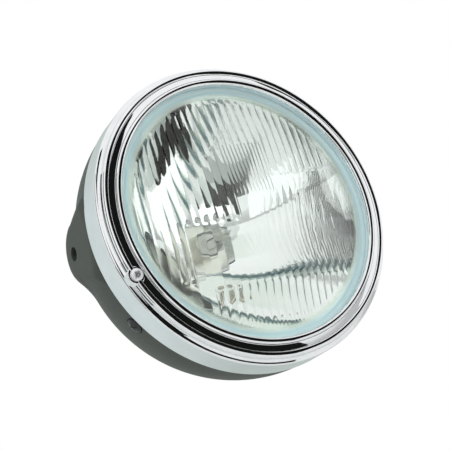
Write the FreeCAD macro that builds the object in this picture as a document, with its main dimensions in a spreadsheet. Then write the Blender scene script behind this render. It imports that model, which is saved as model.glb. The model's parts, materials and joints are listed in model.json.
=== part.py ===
"""Round motorcycle headlight: moulded shell with two ears, chromed rim, fluted glass and an aimable beam unit.

Millimetres. The origin is midway between the two ear bolts, +Z is up, the glass faces -Y and +X is the
viewer's right.
"""
import FreeCAD, Part
import math
import os
import Sketcher

SIZES = {
    # shell
    "ear_rise": (0.2, "ear's face beyond the shell's radius"),
    "ear_hole": (8.5, "bolt hole in each ear"),
    "ear_nose": (18.0, "radius of the ear's rounded rear end"),
    "ear_nose_back": (-4.0, "centre of that radius behind the bolt line"),
    "ear_root": (24.0, "half height of the ear's face at the rim"),
    "ear_flare": (38.0, "draft of the ear's flank in degrees"),
    "ear_edge": (5.0, "rounding of the ear's face"),
    "ear_wall": (3.5, "wall behind the ear's face"),
    "ear_relief": (1.5, "slope of the cone that trims the ears' corners behind the rim"),
    "rim_proud": (0.7, "rim's band proud of the shell"),
    "shell_wall": (2.8, "wall of the bowl"),
    "bowl_setback": (4.5, "where the bowl starts to curve, behind the rim's rear edge"),
    "rear_room": (8.91, "bulb's blades to the shell's rear face"),
    "spigot_length": (5.5, "spigot that the rim slips over"),
    "spigot_play": (0.6, "spigot to the inside of the rim"),
    "spigot_step": (0.9, "spigot's bore inside the bowl's wall"),
    "cable_hole": (20.0, "hole for the loom in the rear wall"),
    # rim
    "lip_setback": (50.0, "bolt line to the plane of the rim's lip"),
    "lip_radius": (80.2, "clear radius inside the lip"),
    "lip_return": (0.6, "straight edge behind the lip plane"),
    "rim_gauge": (1.0, "sheet of the rim"),
    "inner_bead": (2.4, "outer radius of the bead round the glass"),
    "groove_bend": (1.2, "outer radius of the groove"),
    "groove_floor": (0.4, "groove floor behind the lip plane"),
    "outer_bead": (2.8, "outer radius of the second bead"),
    "outer_crest": (0.6, "second bead's crest ahead of the lip plane"),
    "crease_depth": (4.0, "lip plane to the crease"),
    "shoulder_bend": (2.944, "outer radius of the shoulder between crease and band"),
    "rim_depth": (23.5, "lip plane to the rim's rear edge"),
    # aim screw and its seat
    "aim_inset": (2.756, "aim screw inside the rim's crease"),
    "aim_angle": (21.7, "aim screw below the horizontal in degrees"),
    "seat_radius": (5.3, "stamped seat round the aim screw"),
    "seat_rise": (0.2, "seat's face ahead of the lip plane"),
    "aim_head_radius": (3.6, "head of the aim screw"),
    "aim_head_height": (2.6, "height of that head"),
    "aim_shank": (1.9, "shank radius of the aim screw"),
    "shank_room": (0.3, "end of the aim screw to the spigot"),
    "thread_gap": (0.35, "radial gap between a shank and its nut"),
    "slip_gap": (0.1, "axial gap under the aim screw's head"),
    "recess_length": (2.2, "half length of a cross recess"),
    "recess_width": (0.5, "half width of a cross recess"),
    "recess_depth": (1.2, "depth of a cross recess"),
    "aim_nut_flats": (7.0, "across flats of the aim nut"),
    "aim_nut_height": (3.2, "height of the aim nut"),
    "spring_radius": (2.5, "mean radius of the aim spring"),
    "spring_wire": (0.6, "wire of the aim spring"),
    "spring_turns": (5.0, "turns of the aim spring"),
    # glass
    "lens_cover": (4.0, "glass edge beyond the lip"),
    "lens_curve": (360.0, "radius of the dome"),
    "crown_rise": (5.0, "crown of the dome ahead of the lip plane"),
    "lens_wall": (3.6, "glass thickness"),
    "land_width": (5.2, "width of the glass's rear land"),
    "land_depth": (7.8, "lip plane to the rear land"),
    "flute_border": (7.9, "clear border between the lip and the flutes"),
    "flute_pitch": (5.0, "pitch of the wide flutes"),
    "flute_height": (0.9, "height of the wide flutes"),
    "fine_pitch": (2.5, "pitch of the fine flutes"),
    "fine_height": (0.5, "height of the fine flutes"),
    "flute_root": (0.4, "depth that the flutes' root sinks into the glass"),
    "block_left": (9.0, "central block left of the axis"),
    "block_right": (20.0, "central block right of the axis"),
    "block_foot": (8.0, "foot of the central block above the axis"),
    "block_top": (40.0, "top of the central block above the axis"),
    "wing_foot": (8.0, "foot of the left flutes below the axis"),
    "tail_left": (46.0, "edge of the long flutes at the far left"),
    "tail_foot": (40.0, "foot of the long flutes below the axis"),
    "kerb_start": (17.0, "kerb line at the block above the axis"),
    "kerb_end": (24.5, "kerb line at the right edge above the axis"),
    "apron_top": (45.0, "top of the lower flutes below the axis"),
    "apron_left": (36.0, "left end of the lower flutes"),
    "apron_right": (57.0, "right end of the lower flutes"),
    "apron_foot": (66.0, "foot of the lower flutes below the axis"),
    # beam unit
    "gasket_gauge": (1.0, "gasket between glass and reflector"),
    "focal_length": (25.0, "focal length of the reflector"),
    "dish_step": (2.0, "reflector's mouth inside the glass's land"),
    "dish_gauge": (1.0, "sheet of the reflector"),
    "cup_gap": (0.4, "glass edge to the reflector's cup"),
    "cup_room": (0.22, "edge of the reflector's cup to the clips"),
    "bulb_hole": (20.0, "radius of the hole for the bulb"),
    "ring_overhang": (1.8, "mounting ring beyond the glass edge"),
    "ring_width": (8.2, "width of the mounting ring"),
    "ring_gauge": (1.5, "sheet of the mounting ring and brackets"),
    "ring_flange": (5.2, "depth of the mounting ring's stiffening flange"),
    "tab_margin": (3.9, "aim tab beyond the aim screw"),
    "tab_width": (12.0, "width of the aim tab"),
    "pivot_room": (2.6, "pivot axis behind the inside of the rim's crease"),
    "pivot_pin": (2.0, "radius of the pivot pins"),
    "pivot_gap": (0.3, "pin to its hole"),
    "plate_rise": (1.2, "pivot plate beyond the mounting ring"),
    "pivot_width": (14.0, "width of the pivot plate"),
    "clip_angle": (66.0, "unit clips from the horizontal in degrees"),
    "clip_width": (9.0, "width of a unit clip"),
    "clip_gauge": (0.8, "strip of a unit clip"),
    "clip_grip": (1.7, "a clip's legs inside the glass edge"),
    # brackets and retaining screws
    "bracket_width": (16.0, "width of the pivot brackets"),
    "plate_room": (1.3, "pivot plate to its bracket"),
    "hook_drop": (0.4, "hook to the inside of the spigot"),
    "hook_length": (16.0, "hook behind its bend"),
    "screw_angle": (34.5, "retaining screws below the horizontal in degrees"),
    "screw_setback": (5.5, "retaining screws behind the rim's rear edge"),
    "screw_head": (4.8, "head radius of a retaining screw"),
    "head_room": (0.6, "room round that head on its flat"),
    "screw_head_height": (2.4, "height of that head"),
    "flat_depth": (0.8, "flat under the head, inside the shell's radius"),
    "screw_shank": (2.4, "shank radius of a retaining screw"),
    "screw_length": (11.0, "shank length of a retaining screw"),
    "screw_boss": (6.0, "boss radius inside the shell"),
    "screw_nut_flats": (8.0, "across flats of a retaining nut"),
    "screw_nut_height": (3.8, "height of a retaining nut"),
    "tongue_drop": (1.7, "a side bracket's tongue inside the spigot's bore"),
    "tongue_width": (12.0, "width of a side bracket"),
    # bulb
    "seat_width": (5.0, "bulb seat beyond the reflector's hole"),
    "sleeve_gap": (0.4, "seat's sleeve to the reflector's hole"),
    "seat_depth": (4.7, "reflector's rear edge to the bulb's flange"),
    "bulb_flange": (21.5, "radius of the bulb's flange"),
    "flange_gauge": (1.2, "thickness of the bulb's flange"),
    "cup_wall": (1.2, "wall of the cup that holds the bulb's glass"),
    "cup_length": (10.0, "cup ahead of the flange"),
    "glass_radius": (8.4, "outer radius of the bulb's glass"),
    "glass_wall": (0.9, "wall of the bulb's glass"),
    "glass_reach": (43.0, "tip of the glass ahead of the flange"),
    "bulb_barrel": (12.5, "radius of the barrel behind the flange"),
    "barrel_length": (11.0, "length of that barrel"),
    "plug_length": (3.5, "insulator behind the barrel"),
    "blade_width": (7.8, "width of a terminal blade"),
    "blade_gauge": (0.8, "thickness of a terminal blade"),
    "blade_length": (9.0, "length of a terminal blade"),
    "boot_wall": (1.5, "wall of the rubber boot"),
    "clip_wire": (0.7, "wire radius of the bulb clip"),
    # parking lamp
    "pilot_drop": (38.0, "parking lamp below the axis, on the reflector"),
    "pilot_hole": (6.6, "radius of the reflector's hole for it"),
    "pilot_rest": (2.2, "flange of its holder beyond that hole"),
    "pilot_tail": (16.0, "holder behind its flange"),
    "pilot_glass": (4.9, "radius of its bulb"),
    "pilot_reach": (14.0, "bulb ahead of the reflector"),
    # fasteners and grommet
    "nut_flats": (13.0, "across flats of an ear nut"),
    "nut_height": (6.5, "height of an ear nut"),
    "grommet_grip": (3.5, "grommet's flanges beyond their hole"),
    "grommet_lip": (1.6, "thickness of each flange"),
    "grommet_bore": (6.0, "radius of the grommet's bore"),
}

doc = FreeCAD.newDocument("headlight")
sheet = doc.addObject("Spreadsheet::Sheet", "sizes")
for row, (alias, (number, note)) in enumerate(SIZES.items(), start=1):
    sheet.set(f"A{row}", note)
    sheet.set(f"B{row}", str(number))
    sheet.setAlias(f"B{row}", alias)
doc.recompute()


class Size:
    """A number together with the sheet expression that it comes from."""

    def __init__(self, number, text):
        self.number = number
        self.text = text

    def __add__(self, other):
        other = as_size(other)
        return Size(self.number + other.number, f"({self.text} + {other.text})")

    def __sub__(self, other):
        other = as_size(other)
        return Size(self.number - other.number, f"({self.text} - {other.text})")

    def __mul__(self, other):
        other = as_size(other)
        return Size(self.number * other.number, f"({self.text} * {other.text})")

    def __truediv__(self, other):
        other = as_size(other)
        return Size(self.number / other.number, f"({self.text} / {other.text})")

    def __neg__(self):
        return Size(-self.number, f"(0 - {self.text})")

    __radd__ = __add__

    def __rsub__(self, other):
        return as_size(other) - self

    __rmul__ = __mul__


def as_size(value):
    return value if isinstance(value, Size) else Size(float(value), f"{float(value):.6f}")


def size(alias):
    return Size(float(sheet.get(alias)), f"sizes.{alias}")


def root(value):
    return Size(math.sqrt(value.number), f"sqrt({value.text})")


def cosine(angle):
    return Size(math.cos(math.radians(angle.number)), f"cos({angle.text})")


def sine(angle):
    return Size(math.sin(math.radians(angle.number)), f"sin({angle.text})")


def arc_sine(value):
    return Size(math.degrees(math.asin(value.number)), f"(asin({value.text}) / (1 deg))")


def arc_tangent(value):
    return Size(math.degrees(math.atan(value.number)), f"(atan({value.text}) / (1 deg))")


def bind(item, path, value):
    item.setExpression(path, as_size(value).text)


class Outline:
    """A closed outline of lines and arcs. Each corner and radius is bound to the sheet."""

    def __init__(self, x, y):
        self.corners = [(as_size(x), as_size(y))]
        self.steps = []
        self.closing = None

    def line(self, x, y):
        self.corners.append((as_size(x), as_size(y)))
        self.steps.append(None)
        return self

    def arc(self, x, y, radius, turn):
        """A short arc to a corner. turn is 1 counter-clockwise and -1 clockwise."""
        self.corners.append((as_size(x), as_size(y)))
        self.steps.append((as_size(radius), turn))
        return self

    def bend(self, x, y, radius, first, last, count):
        """A round stretch about a centre, in even straight steps between two angles in degrees."""
        for index in range(count + 1):
            angle = math.radians(first + (last - first) * index / count)
            self.line(x + radius * math.cos(angle), y + radius * math.sin(angle))
        return self

    def close_arc(self, radius, turn):
        """Closes the outline with an arc in place of a line."""
        self.closing = (as_size(radius), turn)
        return self

    def draw(self, sketch):
        steps = self.steps + [self.closing]
        points = [FreeCAD.Vector(x.number, y.number, 0) for x, y in self.corners]
        ends = []
        for index, step in enumerate(steps):
            start = points[index]
            stop = points[(index + 1) % len(points)]
            if step is None:
                geometry = sketch.addGeometry(Part.LineSegment(start, stop))
                ends.append((geometry, 1, 2))
                continue
            radius, turn = step
            geometry = sketch.addGeometry(arc_between(start, stop, radius.number, turn))
            ends.append((geometry, 1, 2) if turn > 0 else (geometry, 2, 1))
            number = sketch.addConstraint(Sketcher.Constraint("Radius", geometry, radius.number))
            bind(sketch, f"Constraints[{number}]", radius)
        for index, (geometry, first, last) in enumerate(ends):
            following, following_first, _ = ends[(index + 1) % len(ends)]
            sketch.addConstraint(
                Sketcher.Constraint("Coincident", geometry, last, following, following_first)
            )
            x, y = self.corners[index]
            place_point(sketch, geometry, first, x, y)


def arc_between(start, stop, radius, turn):
    """The short arc from start to stop with its centre on the left (turn 1) or right (turn -1)."""
    chord = stop - start
    half = chord.Length / 2
    normal = FreeCAD.Vector(-chord.y, chord.x, 0).normalize()
    centre = start + chord * 0.5 + normal * (turn * math.sqrt(max(radius**2 - half**2, 0)))
    first, last = (start, stop) if turn > 0 else (stop, start)
    angles = [math.atan2(p.y - centre.y, p.x - centre.x) for p in (first, last)]
    if angles[1] < angles[0]:
        angles[1] += 2 * math.pi
    return Part.ArcOfCircle(Part.Circle(centre, FreeCAD.Vector(0, 0, 1), radius), *angles)


def place_point(sketch, geometry, corner, x, y):
    for axis, value in (("DistanceX", x), ("DistanceY", y)):
        number = sketch.addConstraint(Sketcher.Constraint(axis, -1, 1, geometry, corner, value.number))
        bind(sketch, f"Constraints[{number}]", value)


def draw_circle(sketch, x, y, radius):
    x, y, radius = as_size(x), as_size(y), as_size(radius)
    centre = FreeCAD.Vector(x.number, y.number, 0)
    geometry = sketch.addGeometry(Part.Circle(centre, FreeCAD.Vector(0, 0, 1), radius.number))
    number = sketch.addConstraint(Sketcher.Constraint("Radius", geometry, radius.number))
    bind(sketch, f"Constraints[{number}]", radius)
    place_point(sketch, geometry, 3, x, y)


def rectangle(left, right, low, high):
    return Outline(left, low).line(right, low).line(right, high).line(left, high)


def hexagon(flats, turn):
    """A hexagon round the zero point, with its first corner turned by an angle in degrees."""
    corner = flats / math.sqrt(3)
    places = [turn + 60 * step for step in range(6)]
    outline = Outline(corner * cosine(places[0]), corner * sine(places[0]))
    for place in places[1:]:
        outline.line(corner * cosine(place), corner * sine(place))
    return outline


def cross(length, width):
    """A plus sign round the zero point, from its half length and half width."""
    outline = Outline(length, width)
    for x, y in (
        (width, width), (width, length), (-width, length), (-width, width), (-length, width),
        (-length, -width), (-width, -width), (-width, -length), (width, -length), (width, -width),
        (length, -width),
    ):
        outline.line(x, y)
    return outline


def new_body(name):
    return doc.addObject("PartDesign::Body", name)


NODES = {}


def named(item, node):
    """Gives a finished piece its label and lists it to be written."""
    item.Label = node
    NODES[node] = item
    return item


def new_sketch(body, name, plane="XY_Plane", offset=0.0):
    """A sketch on one of the body's own planes, moved along that plane's normal."""
    sketch = body.newObject("Sketcher::SketchObject", name)
    support = next(f for f in body.Origin.OriginFeatures if f.Role == plane)
    sketch.AttachmentSupport = [(support, "")]
    sketch.MapMode = "FlatFace"
    offset = as_size(offset)
    sketch.AttachmentOffset = FreeCAD.Placement(FreeCAD.Vector(0, 0, offset.number), FreeCAD.Rotation())
    bind(sketch, "AttachmentOffset.Base.z", offset)
    return sketch


def revolve(body, sketch, kind="Revolution", turn=360):
    """Turns a sketch about the Y axis, as added stock or as a groove."""
    feature = body.newObject(f"PartDesign::{kind}", f"{sketch.Name}_turn")
    feature.Profile = sketch
    feature.ReferenceAxis = (sketch, ["V_Axis"])
    feature.Angle = turn
    if turn != 360:
        feature.Midplane = True
    sketch.Visibility = False
    doc.recompute()
    return feature


def extrude(body, sketch, kind, length, back=False, middle=False, draft=None):
    """A Pad or Pocket of a stated length. back runs against the feature's own direction."""
    feature = body.newObject(f"PartDesign::{kind}", f"{sketch.Name}_{kind.lower()}")
    feature.Profile = sketch
    feature.Reversed = back
    if middle:
        feature.Midplane = True
    bind(feature, "Length", length)
    if draft is not None:
        bind(feature, "TaperAngle", draft)
    doc.recompute()
    return feature


def mirrored_copy(source, normal):
    copy = doc.addObject("Part::Mirroring", f"{source.Name}_twin")
    copy.Source = source
    copy.Normal = normal
    return copy


def group(node, members):
    """Like pieces that share one node."""
    item = doc.addObject("Part::Compound", f"{node}_group")
    item.Links = members
    return named(item, node)


def combine(kind, name, base, tool):
    item = doc.addObject(kind, name)
    item.Base = base
    item.Tool = tool
    return item


def cylinder(name, radius, height):
    item = doc.addObject("Part::Cylinder", name)
    bind(item, "Radius", radius)
    bind(item, "Height", height)
    return item


def box(name, x, y, z, corner):
    """A box of three lengths with its lowest corner at three places."""
    item = doc.addObject("Part::Box", name)
    for path, value in zip(("Length", "Width", "Height"), (x, y, z)):
        bind(item, path, value)
    move(item, *corner)
    return item


def move(item, x, y, z):
    for axis, value in zip("xyz", (x, y, z)):
        bind(item, f"Placement.Base.{axis}", value)


def swing(item, axis, angle):
    """Turns an item about an axis through its own zero point."""
    angle = as_size(angle)
    item.Placement = FreeCAD.Placement(FreeCAD.Vector(), FreeCAD.Rotation(axis, angle.number))
    bind(item, "Placement.Rotation.Angle", angle)


X_AXIS = FreeCAD.Vector(1, 0, 0)
Y_AXIS = FreeCAD.Vector(0, 1, 0)
Z_AXIS = FreeCAD.Vector(0, 0, 1)

# places along the axis, each from the driving sizes
lip_y = -size("lip_setback")
lip_end = lip_y + size("lip_return")
rim_rear = lip_y + size("rim_depth")
crease_y = lip_y + size("crease_depth")
shoulder_y = crease_y + size("shoulder_bend")
spigot_front = rim_rear - size("spigot_length")
bowl_start = rim_rear + size("bowl_setback")
screw_y = rim_rear + size("screw_setback")
pivot_y = crease_y + size("rim_gauge") + size("pivot_room")
seat_face = lip_y - size("seat_rise")
dome_centre = lip_y - size("crown_rise") + size("lens_curve")
inner_curve = size("lens_curve") - size("lens_wall")
land_y = lip_y + size("land_depth")
dish_front = land_y + size("gasket_gauge")
flange_back = dish_front + size("dish_gauge")
ring_back = flange_back + size("ring_gauge")

# radii of the rim, from the lip outwards
groove_y = lip_y + size("groove_floor") - size("groove_bend")
second_y = lip_y - size("outer_crest") + size("outer_bead")
bead_radius = size("lip_radius") + size("inner_bead")


def tangent_step(first, second, offset):
    """How far apart two touching bends lie across the axis, from their offset along it."""
    reach = first + second
    return root(reach * reach - offset * offset)


groove_radius = bead_radius + tangent_step(size("inner_bead"), size("groove_bend"), lip_y - groove_y)
second_radius = groove_radius + tangent_step(size("outer_bead"), size("groove_bend"), second_y - groove_y)
crease_radius = second_radius + size("outer_bead")
band_radius = crease_radius + size("shoulder_bend")
rim_inside = band_radius - size("rim_gauge")
aim_radius = crease_radius - size("aim_inset")
aim_x = -aim_radius * cosine(size("aim_angle"))
aim_z = -aim_radius * sine(size("aim_angle"))
aim_length = spigot_front - size("shank_room") - seat_face + size("slip_gap")

# radii of the shell, inside the rim's band
shell_radius = band_radius - size("rim_proud")
ear_face = shell_radius + size("ear_rise")
spigot_radius = rim_inside - size("spigot_play")
spigot_bore = shell_radius - size("shell_wall") - size("spigot_step")
tongue_top = spigot_bore - size("tongue_drop")
screw_seat = shell_radius - size("flat_depth")

# radii of the beam unit, from the glass outwards and inwards
lens_radius = size("lip_radius") + size("lens_cover")
land_radius = lens_radius - size("land_width")
flute_field = size("lip_radius") - size("flute_border")
dish_radius = land_radius - size("dish_step")
ring_radius = lens_radius + size("ring_overhang")
ring_bore = ring_radius - size("ring_width")
tab_reach = aim_radius + size("tab_margin")
clip_reach = lens_radius - size("clip_grip")
pivot_plate = ring_radius + size("plate_rise")
bracket_seat = pivot_plate + size("ring_gauge") + size("plate_room")
strip_top = bracket_seat + size("ring_gauge")

# the bulb, from the reflector's rear edge to the shell's rear face
dish_vertex = dish_front + dish_radius * dish_radius / (4 * size("focal_length"))
hole_edge = (
    dish_vertex + size("dish_gauge") - size("bulb_hole") * size("bulb_hole") / (4 * size("focal_length"))
)
flange_y = hole_edge + size("seat_depth")
barrel_y = flange_y + size("flange_gauge")
plug_y = barrel_y + size("barrel_length")
blade_y = plug_y + size("plug_length")
seat_outer = size("bulb_hole") + size("seat_width")
seat_sleeve = size("bulb_hole") - size("sleeve_gap")
bulb_cup = size("glass_radius") + size("cup_wall")
pilot_flange = size("pilot_hole") + size("pilot_rest")
bowl_back = blade_y + size("blade_length") + size("rear_room")
bowl_radius = bowl_back - bowl_start
grommet_flange = size("cable_hole") / 2 + size("grommet_grip")


def ear_outline(inset, root_y):
    """The ear's face in the YZ plane: a rounded nose behind the bolt and straight sides to the rim."""
    nose = size("ear_nose") - inset
    top = size("ear_root") - inset
    centre = size("ear_nose_back")
    return (
        Outline(root_y, -top)
        .line(centre, -nose)
        .arc(centre + nose, 0, nose, 1)
        .arc(centre, nose, nose, 1)
        .line(root_y, top)
    )


def build_shell():
    """The moulded bowl with its two ears, spigot, screw bosses and rear hole."""
    body = new_body("bowl")
    core = shell_radius - bowl_radius
    inside = shell_radius - size("shell_wall")
    outer = new_sketch(body, "bowl_outside")
    (
        Outline(0, rim_rear)
        .line(shell_radius, rim_rear)
        .bend(core, bowl_start, bowl_radius, 0, 90, 8)
        .line(0, bowl_back)
    ).draw(outer)
    revolve(body, outer)
    for name, side in (("right_ear", 1), ("left_ear", -1)):
        add_ear(body, name, side)
    front = new_sketch(body, "mouth_face")
    far = ear_face * 2
    (
        Outline(0, lip_y - size("ear_root"))
        .line(far, lip_y - size("ear_root"))
        .line(far, rim_rear + (far - band_radius) * size("ear_relief"))
        .line(band_radius, rim_rear)
        .line(0, rim_rear)
    ).draw(front)
    revolve(body, front, "Groove")
    spigot = new_sketch(body, "spigot")
    rectangle(0, spigot_radius, spigot_front, rim_rear).draw(spigot)
    revolve(body, spigot)
    hollow = new_sketch(body, "bowl_inside")
    (
        Outline(0, spigot_front)
        .line(spigot_bore, spigot_front)
        .line(spigot_bore, rim_rear)
        .bend(core, bowl_start, inside - core, 0, 90, 5)
        .line(0, bowl_back - size("shell_wall"))
    ).draw(hollow)
    revolve(body, hollow, "Groove")
    for name, side in (("right_hollow", 1), ("left_hollow", -1)):
        hollow_ear(body, name, side)
    rear = new_sketch(body, "cable_opening", "XZ_Plane", -bowl_back)
    draw_circle(rear, 0, 0, size("cable_hole") / 2)
    extrude(body, rear, "Pocket", size("shell_wall") * 2, back=True)
    return fit_screw_bosses(body)


def add_ear(body, name, side):
    """A drafted ear whose face stands square to the bolt, with a rounded edge."""
    face = new_sketch(body, name, "YZ_Plane", ear_face * side)
    ear_outline(as_size(0), rim_rear).draw(face)
    ear = extrude(body, face, "Pad", ear_face / 5, back=side > 0, draft=size("ear_flare"))
    edge = body.newObject("PartDesign::Fillet", f"{name}_edge")
    edge.Base = (ear, face_edges(ear.Shape, ear_face.number * side, rim_rear.number))
    bind(edge, "Radius", size("ear_edge"))
    doc.recompute()


def face_edges(shape, x, front):
    """Names the edges round an ear's face, without its edge at the rim."""
    names = []
    for number, edge in enumerate(shape.Edges, start=1):
        span = edge.BoundBox
        flat = abs(span.XMin - x) < 0.01 and abs(span.XMax - x) < 0.01
        if flat and span.YMax > front + 0.01:
            names.append(f"Edge{number}")
    return names


def hollow_ear(body, name, side):
    """The hollow behind an ear's face, and the bolt hole through what is left."""
    floor = new_sketch(body, name, "YZ_Plane", (ear_face - size("ear_wall")) * side)
    ear_outline(size("shell_wall"), rim_rear + size("ear_wall") * 2).draw(floor)
    extrude(body, floor, "Pocket", ear_face / 5, back=side < 0, draft=size("ear_flare"))
    bolt = new_sketch(body, f"{name}_bolt", "YZ_Plane", ear_face * side)
    draw_circle(bolt, 0, 0, size("ear_hole") / 2)
    extrude(body, bolt, "Pocket", size("ear_wall") * 2, back=side < 0)


def fit_screw_bosses(shell):
    """Bosses inside the shell for the two retaining screws, each with a flat for the head and a hole."""
    outside = shell_radius * 1.1
    for name, side in (("right", 1), ("left", -1)):
        boss = radial_cylinder(f"{name}_boss", size("screw_boss"), tongue_top, screw_seat, side)
        flat = radial_cylinder(f"{name}_flat", size("screw_head") + size("head_room"),
                               screw_seat, outside, side)
        hole = radial_cylinder(f"{name}_hole", size("screw_shank") + size("thread_gap"),
                               tongue_top * 0.9, outside, side)
        shell = combine("Part::Fuse", f"{name}_boss_added", shell, boss)
        shell = combine("Part::Cut", f"{name}_flat_cut", shell, flat)
        shell = combine("Part::Cut", f"{name}_hole_cut", shell, hole)
    return named(shell, "headlamp_shell")


def radial_cylinder(name, radius, near, far, side):
    """A cylinder on a retaining screw's axis, between two distances from the lamp's axis."""
    item = cylinder(name, radius, far - near)
    angle = size("screw_angle")
    tilt = as_size(90) + angle
    swing(item, Y_AXIS, tilt if side > 0 else -tilt)
    move(item, near * cosine(angle) * side, screw_y, -near * sine(angle))
    return item


def build_rim():
    """The stamped rim: lip, two beads with a groove between them, shoulder and band."""
    gauge = size("rim_gauge")
    bead = size("inner_bead")
    groove = size("groove_bend")
    second = size("outer_bead")
    body = new_body("rim")
    sketch = new_sketch(body, "rim_profile")
    (
        Outline(size("lip_radius"), lip_end)
        .line(size("lip_radius"), lip_y)
        .bend(bead_radius, lip_y, bead, 216, 347, 4)
        .line(groove_radius, groove_y + groove)
        .bend(second_radius, second_y, second, 235, 360, 4)
        .line(crease_radius, crease_y)
        .bend(crease_radius, shoulder_y, size("shoulder_bend"), -60, 0, 2)
        .line(band_radius, rim_rear)
        .line(rim_inside, rim_rear)
        .line(rim_inside, shoulder_y)
        .line(crease_radius, crease_y + gauge)
        .line(crease_radius - gauge, crease_y + gauge)
        .line(second_radius, second_y - second + gauge)
        .line(groove_radius, groove_y + groove + gauge)
        .line(bead_radius, lip_y - bead + gauge)
        .line(size("lip_radius") + gauge, lip_end)
    ).draw(sketch)
    revolve(body, sketch)

    seat = new_sketch(body, "aim_seat", "XZ_Plane", -seat_face)
    draw_circle(seat, aim_x, aim_z, size("seat_radius"))
    extrude(body, seat, "Pad", crease_y + gauge * 1.5 - seat_face, back=True)
    face = new_sketch(body, "aim_seat_face", "XZ_Plane", -seat_face)
    draw_circle(face, aim_x, aim_z, size("seat_radius"))
    extrude(body, face, "Pocket", bead * 2, back=True)
    back = new_sketch(body, "aim_seat_back", "XZ_Plane", -(seat_face + gauge))
    draw_circle(back, aim_x, aim_z, size("seat_radius") - gauge)
    extrude(body, back, "Pocket", size("rim_depth"))
    clear = new_sketch(body, "beam_room")
    rectangle(size("lip_radius") - bead, crease_radius - gauge, lip_end + gauge, rim_rear).draw(clear)
    revolve(body, clear, "Groove")
    hole = new_sketch(body, "aim_hole", "XZ_Plane", -seat_face)
    draw_circle(hole, aim_x, aim_z, size("aim_shank") + size("thread_gap"))
    extrude(body, hole, "Pocket", gauge * 2)
    return named(body, "chrome_rim")


def build_lens():
    """The domed glass, with vertical flutes and a central block of finer ones moulded on its inside."""
    body = new_body("dome")
    sketch = new_sketch(body, "dome_profile")
    land = land_radius
    edge = lens_radius
    (
        Outline(0, dome_centre - size("lens_curve"))
        .arc(edge, dome_y(size("lens_curve"), edge), size("lens_curve"), 1)
        .line(edge, land_y)
        .line(land, land_y)
        .line(land, dome_y(inner_curve, land))
        .arc(0, dome_centre - inner_curve, inner_curve, -1)
    ).draw(sketch)
    revolve(body, sketch)
    disc = cylinder("flute_disc", flute_field, size("lip_setback"))
    swing(disc, X_AXIS, as_size(90))
    move(disc, 0, land_y, 0)
    left, right = -size("block_left"), size("block_right")
    foot, top = size("block_foot"), size("block_top")
    far = flute_field * 1.2
    wide = flute_sheet("wide_flutes", size("flute_pitch"), size("flute_height"))
    fine = flute_sheet("fine_flutes", size("fine_pitch"), size("fine_height"), left, right)
    upper = (
        Outline(-far, -size("tail_foot"))
        .line(-size("tail_left"), -size("tail_foot"))
        .line(-size("tail_left"), -size("wing_foot"))
        .line(left, -size("wing_foot"))
        .line(left, top)
        .line(right, top)
        .line(right, size("kerb_start"))
        .line(far, size("kerb_end"))
        .line(far, far)
        .line(-far, far)
    )
    apron = rectangle(-size("apron_left"), size("apron_right"), -size("apron_foot"), -size("apron_top"))
    glass = body
    for name, flutes, outline in (
        ("upper_field", wide, upper),
        ("lower_field", wide, apron),
        ("centre_block", fine, rectangle(left, right, foot, top)),
    ):
        zone = combine("Part::Common", f"{name}_zone", disc, zone_prism(name, outline))
        field = combine("Part::Common", f"{name}_flutes", flutes, zone)
        glass = combine("Part::Fuse", f"{name}_moulded", glass, field)
    return named(glass, "lens")


def dome_y(curve, radius):
    """Where a dome of this curve, about the glass's own centre, is at a radius."""
    return dome_centre - root(curve * curve - radius * radius)


def clip_front():
    """Where the unit clips press on the front of the glass."""
    return dome_y(size("lens_curve"), clip_reach) - size("cup_gap") / 2


def flute_sheet(name, pitch, height, left=None, right=None):
    """A sheet of ridges that follows the inside of the dome, swept about the dome's centre."""
    half_span = flute_field
    left = -half_span if left is None else left
    right = half_span if right is None else right
    count = int((right.number - left.number) / pitch.number)
    under = inner_curve + size("flute_root")
    crest = inner_curve - height
    outline = Outline(left, dome_y(under, left))
    for index in range(count):
        valley = left + pitch * index
        ridge = valley + pitch / 2
        outline.line(valley, dome_y(inner_curve + 0.02, valley))
        outline.line(ridge, dome_y(crest, ridge))
    last = left + pitch * count
    outline.line(last, dome_y(inner_curve + 0.02, last))
    outline.line(last, dome_y(under, last)).close_arc(under, -1)
    sketch = doc.addObject("Sketcher::SketchObject", f"{name}_profile")
    outline.draw(sketch)
    sheet_of_flutes = doc.addObject("Part::Revolution", name)
    sheet_of_flutes.Source = sketch
    sheet_of_flutes.Axis = X_AXIS
    sheet_of_flutes.Solid = True
    sheet_of_flutes.Symmetric = True
    bind(sheet_of_flutes, "Base.y", dome_centre)
    bind(sheet_of_flutes, "Angle", 2 * arc_sine(half_span / crest))
    doc.recompute()
    return sheet_of_flutes


def zone_prism(name, outline):
    """An outline in the XZ plane, as a prism through the whole glass."""
    body = new_body(f"{name}_body")
    sketch = new_sketch(body, f"{name}_outline", "XZ_Plane")
    outline.draw(sketch)
    extrude(body, sketch, "Pad", size("lip_setback") * 2)
    return body


def turned_piece(node, outline):
    """A piece of revolution about the lamp's axis, from its half section."""
    body = new_body(f"{node}_body")
    sketch = new_sketch(body, f"{node}_section")
    outline.draw(sketch)
    revolve(body, sketch)
    return body


def build_gasket():
    section = rectangle(land_radius, lens_radius, land_y, dish_front)
    return named(turned_piece("lens_gasket", section), "lens_gasket")


def dish_y(radius, depth=0.0):
    """The reflector's parabola at a radius, moved back by a depth."""
    return dish_vertex + depth - radius * radius / (4 * size("focal_length"))


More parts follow.
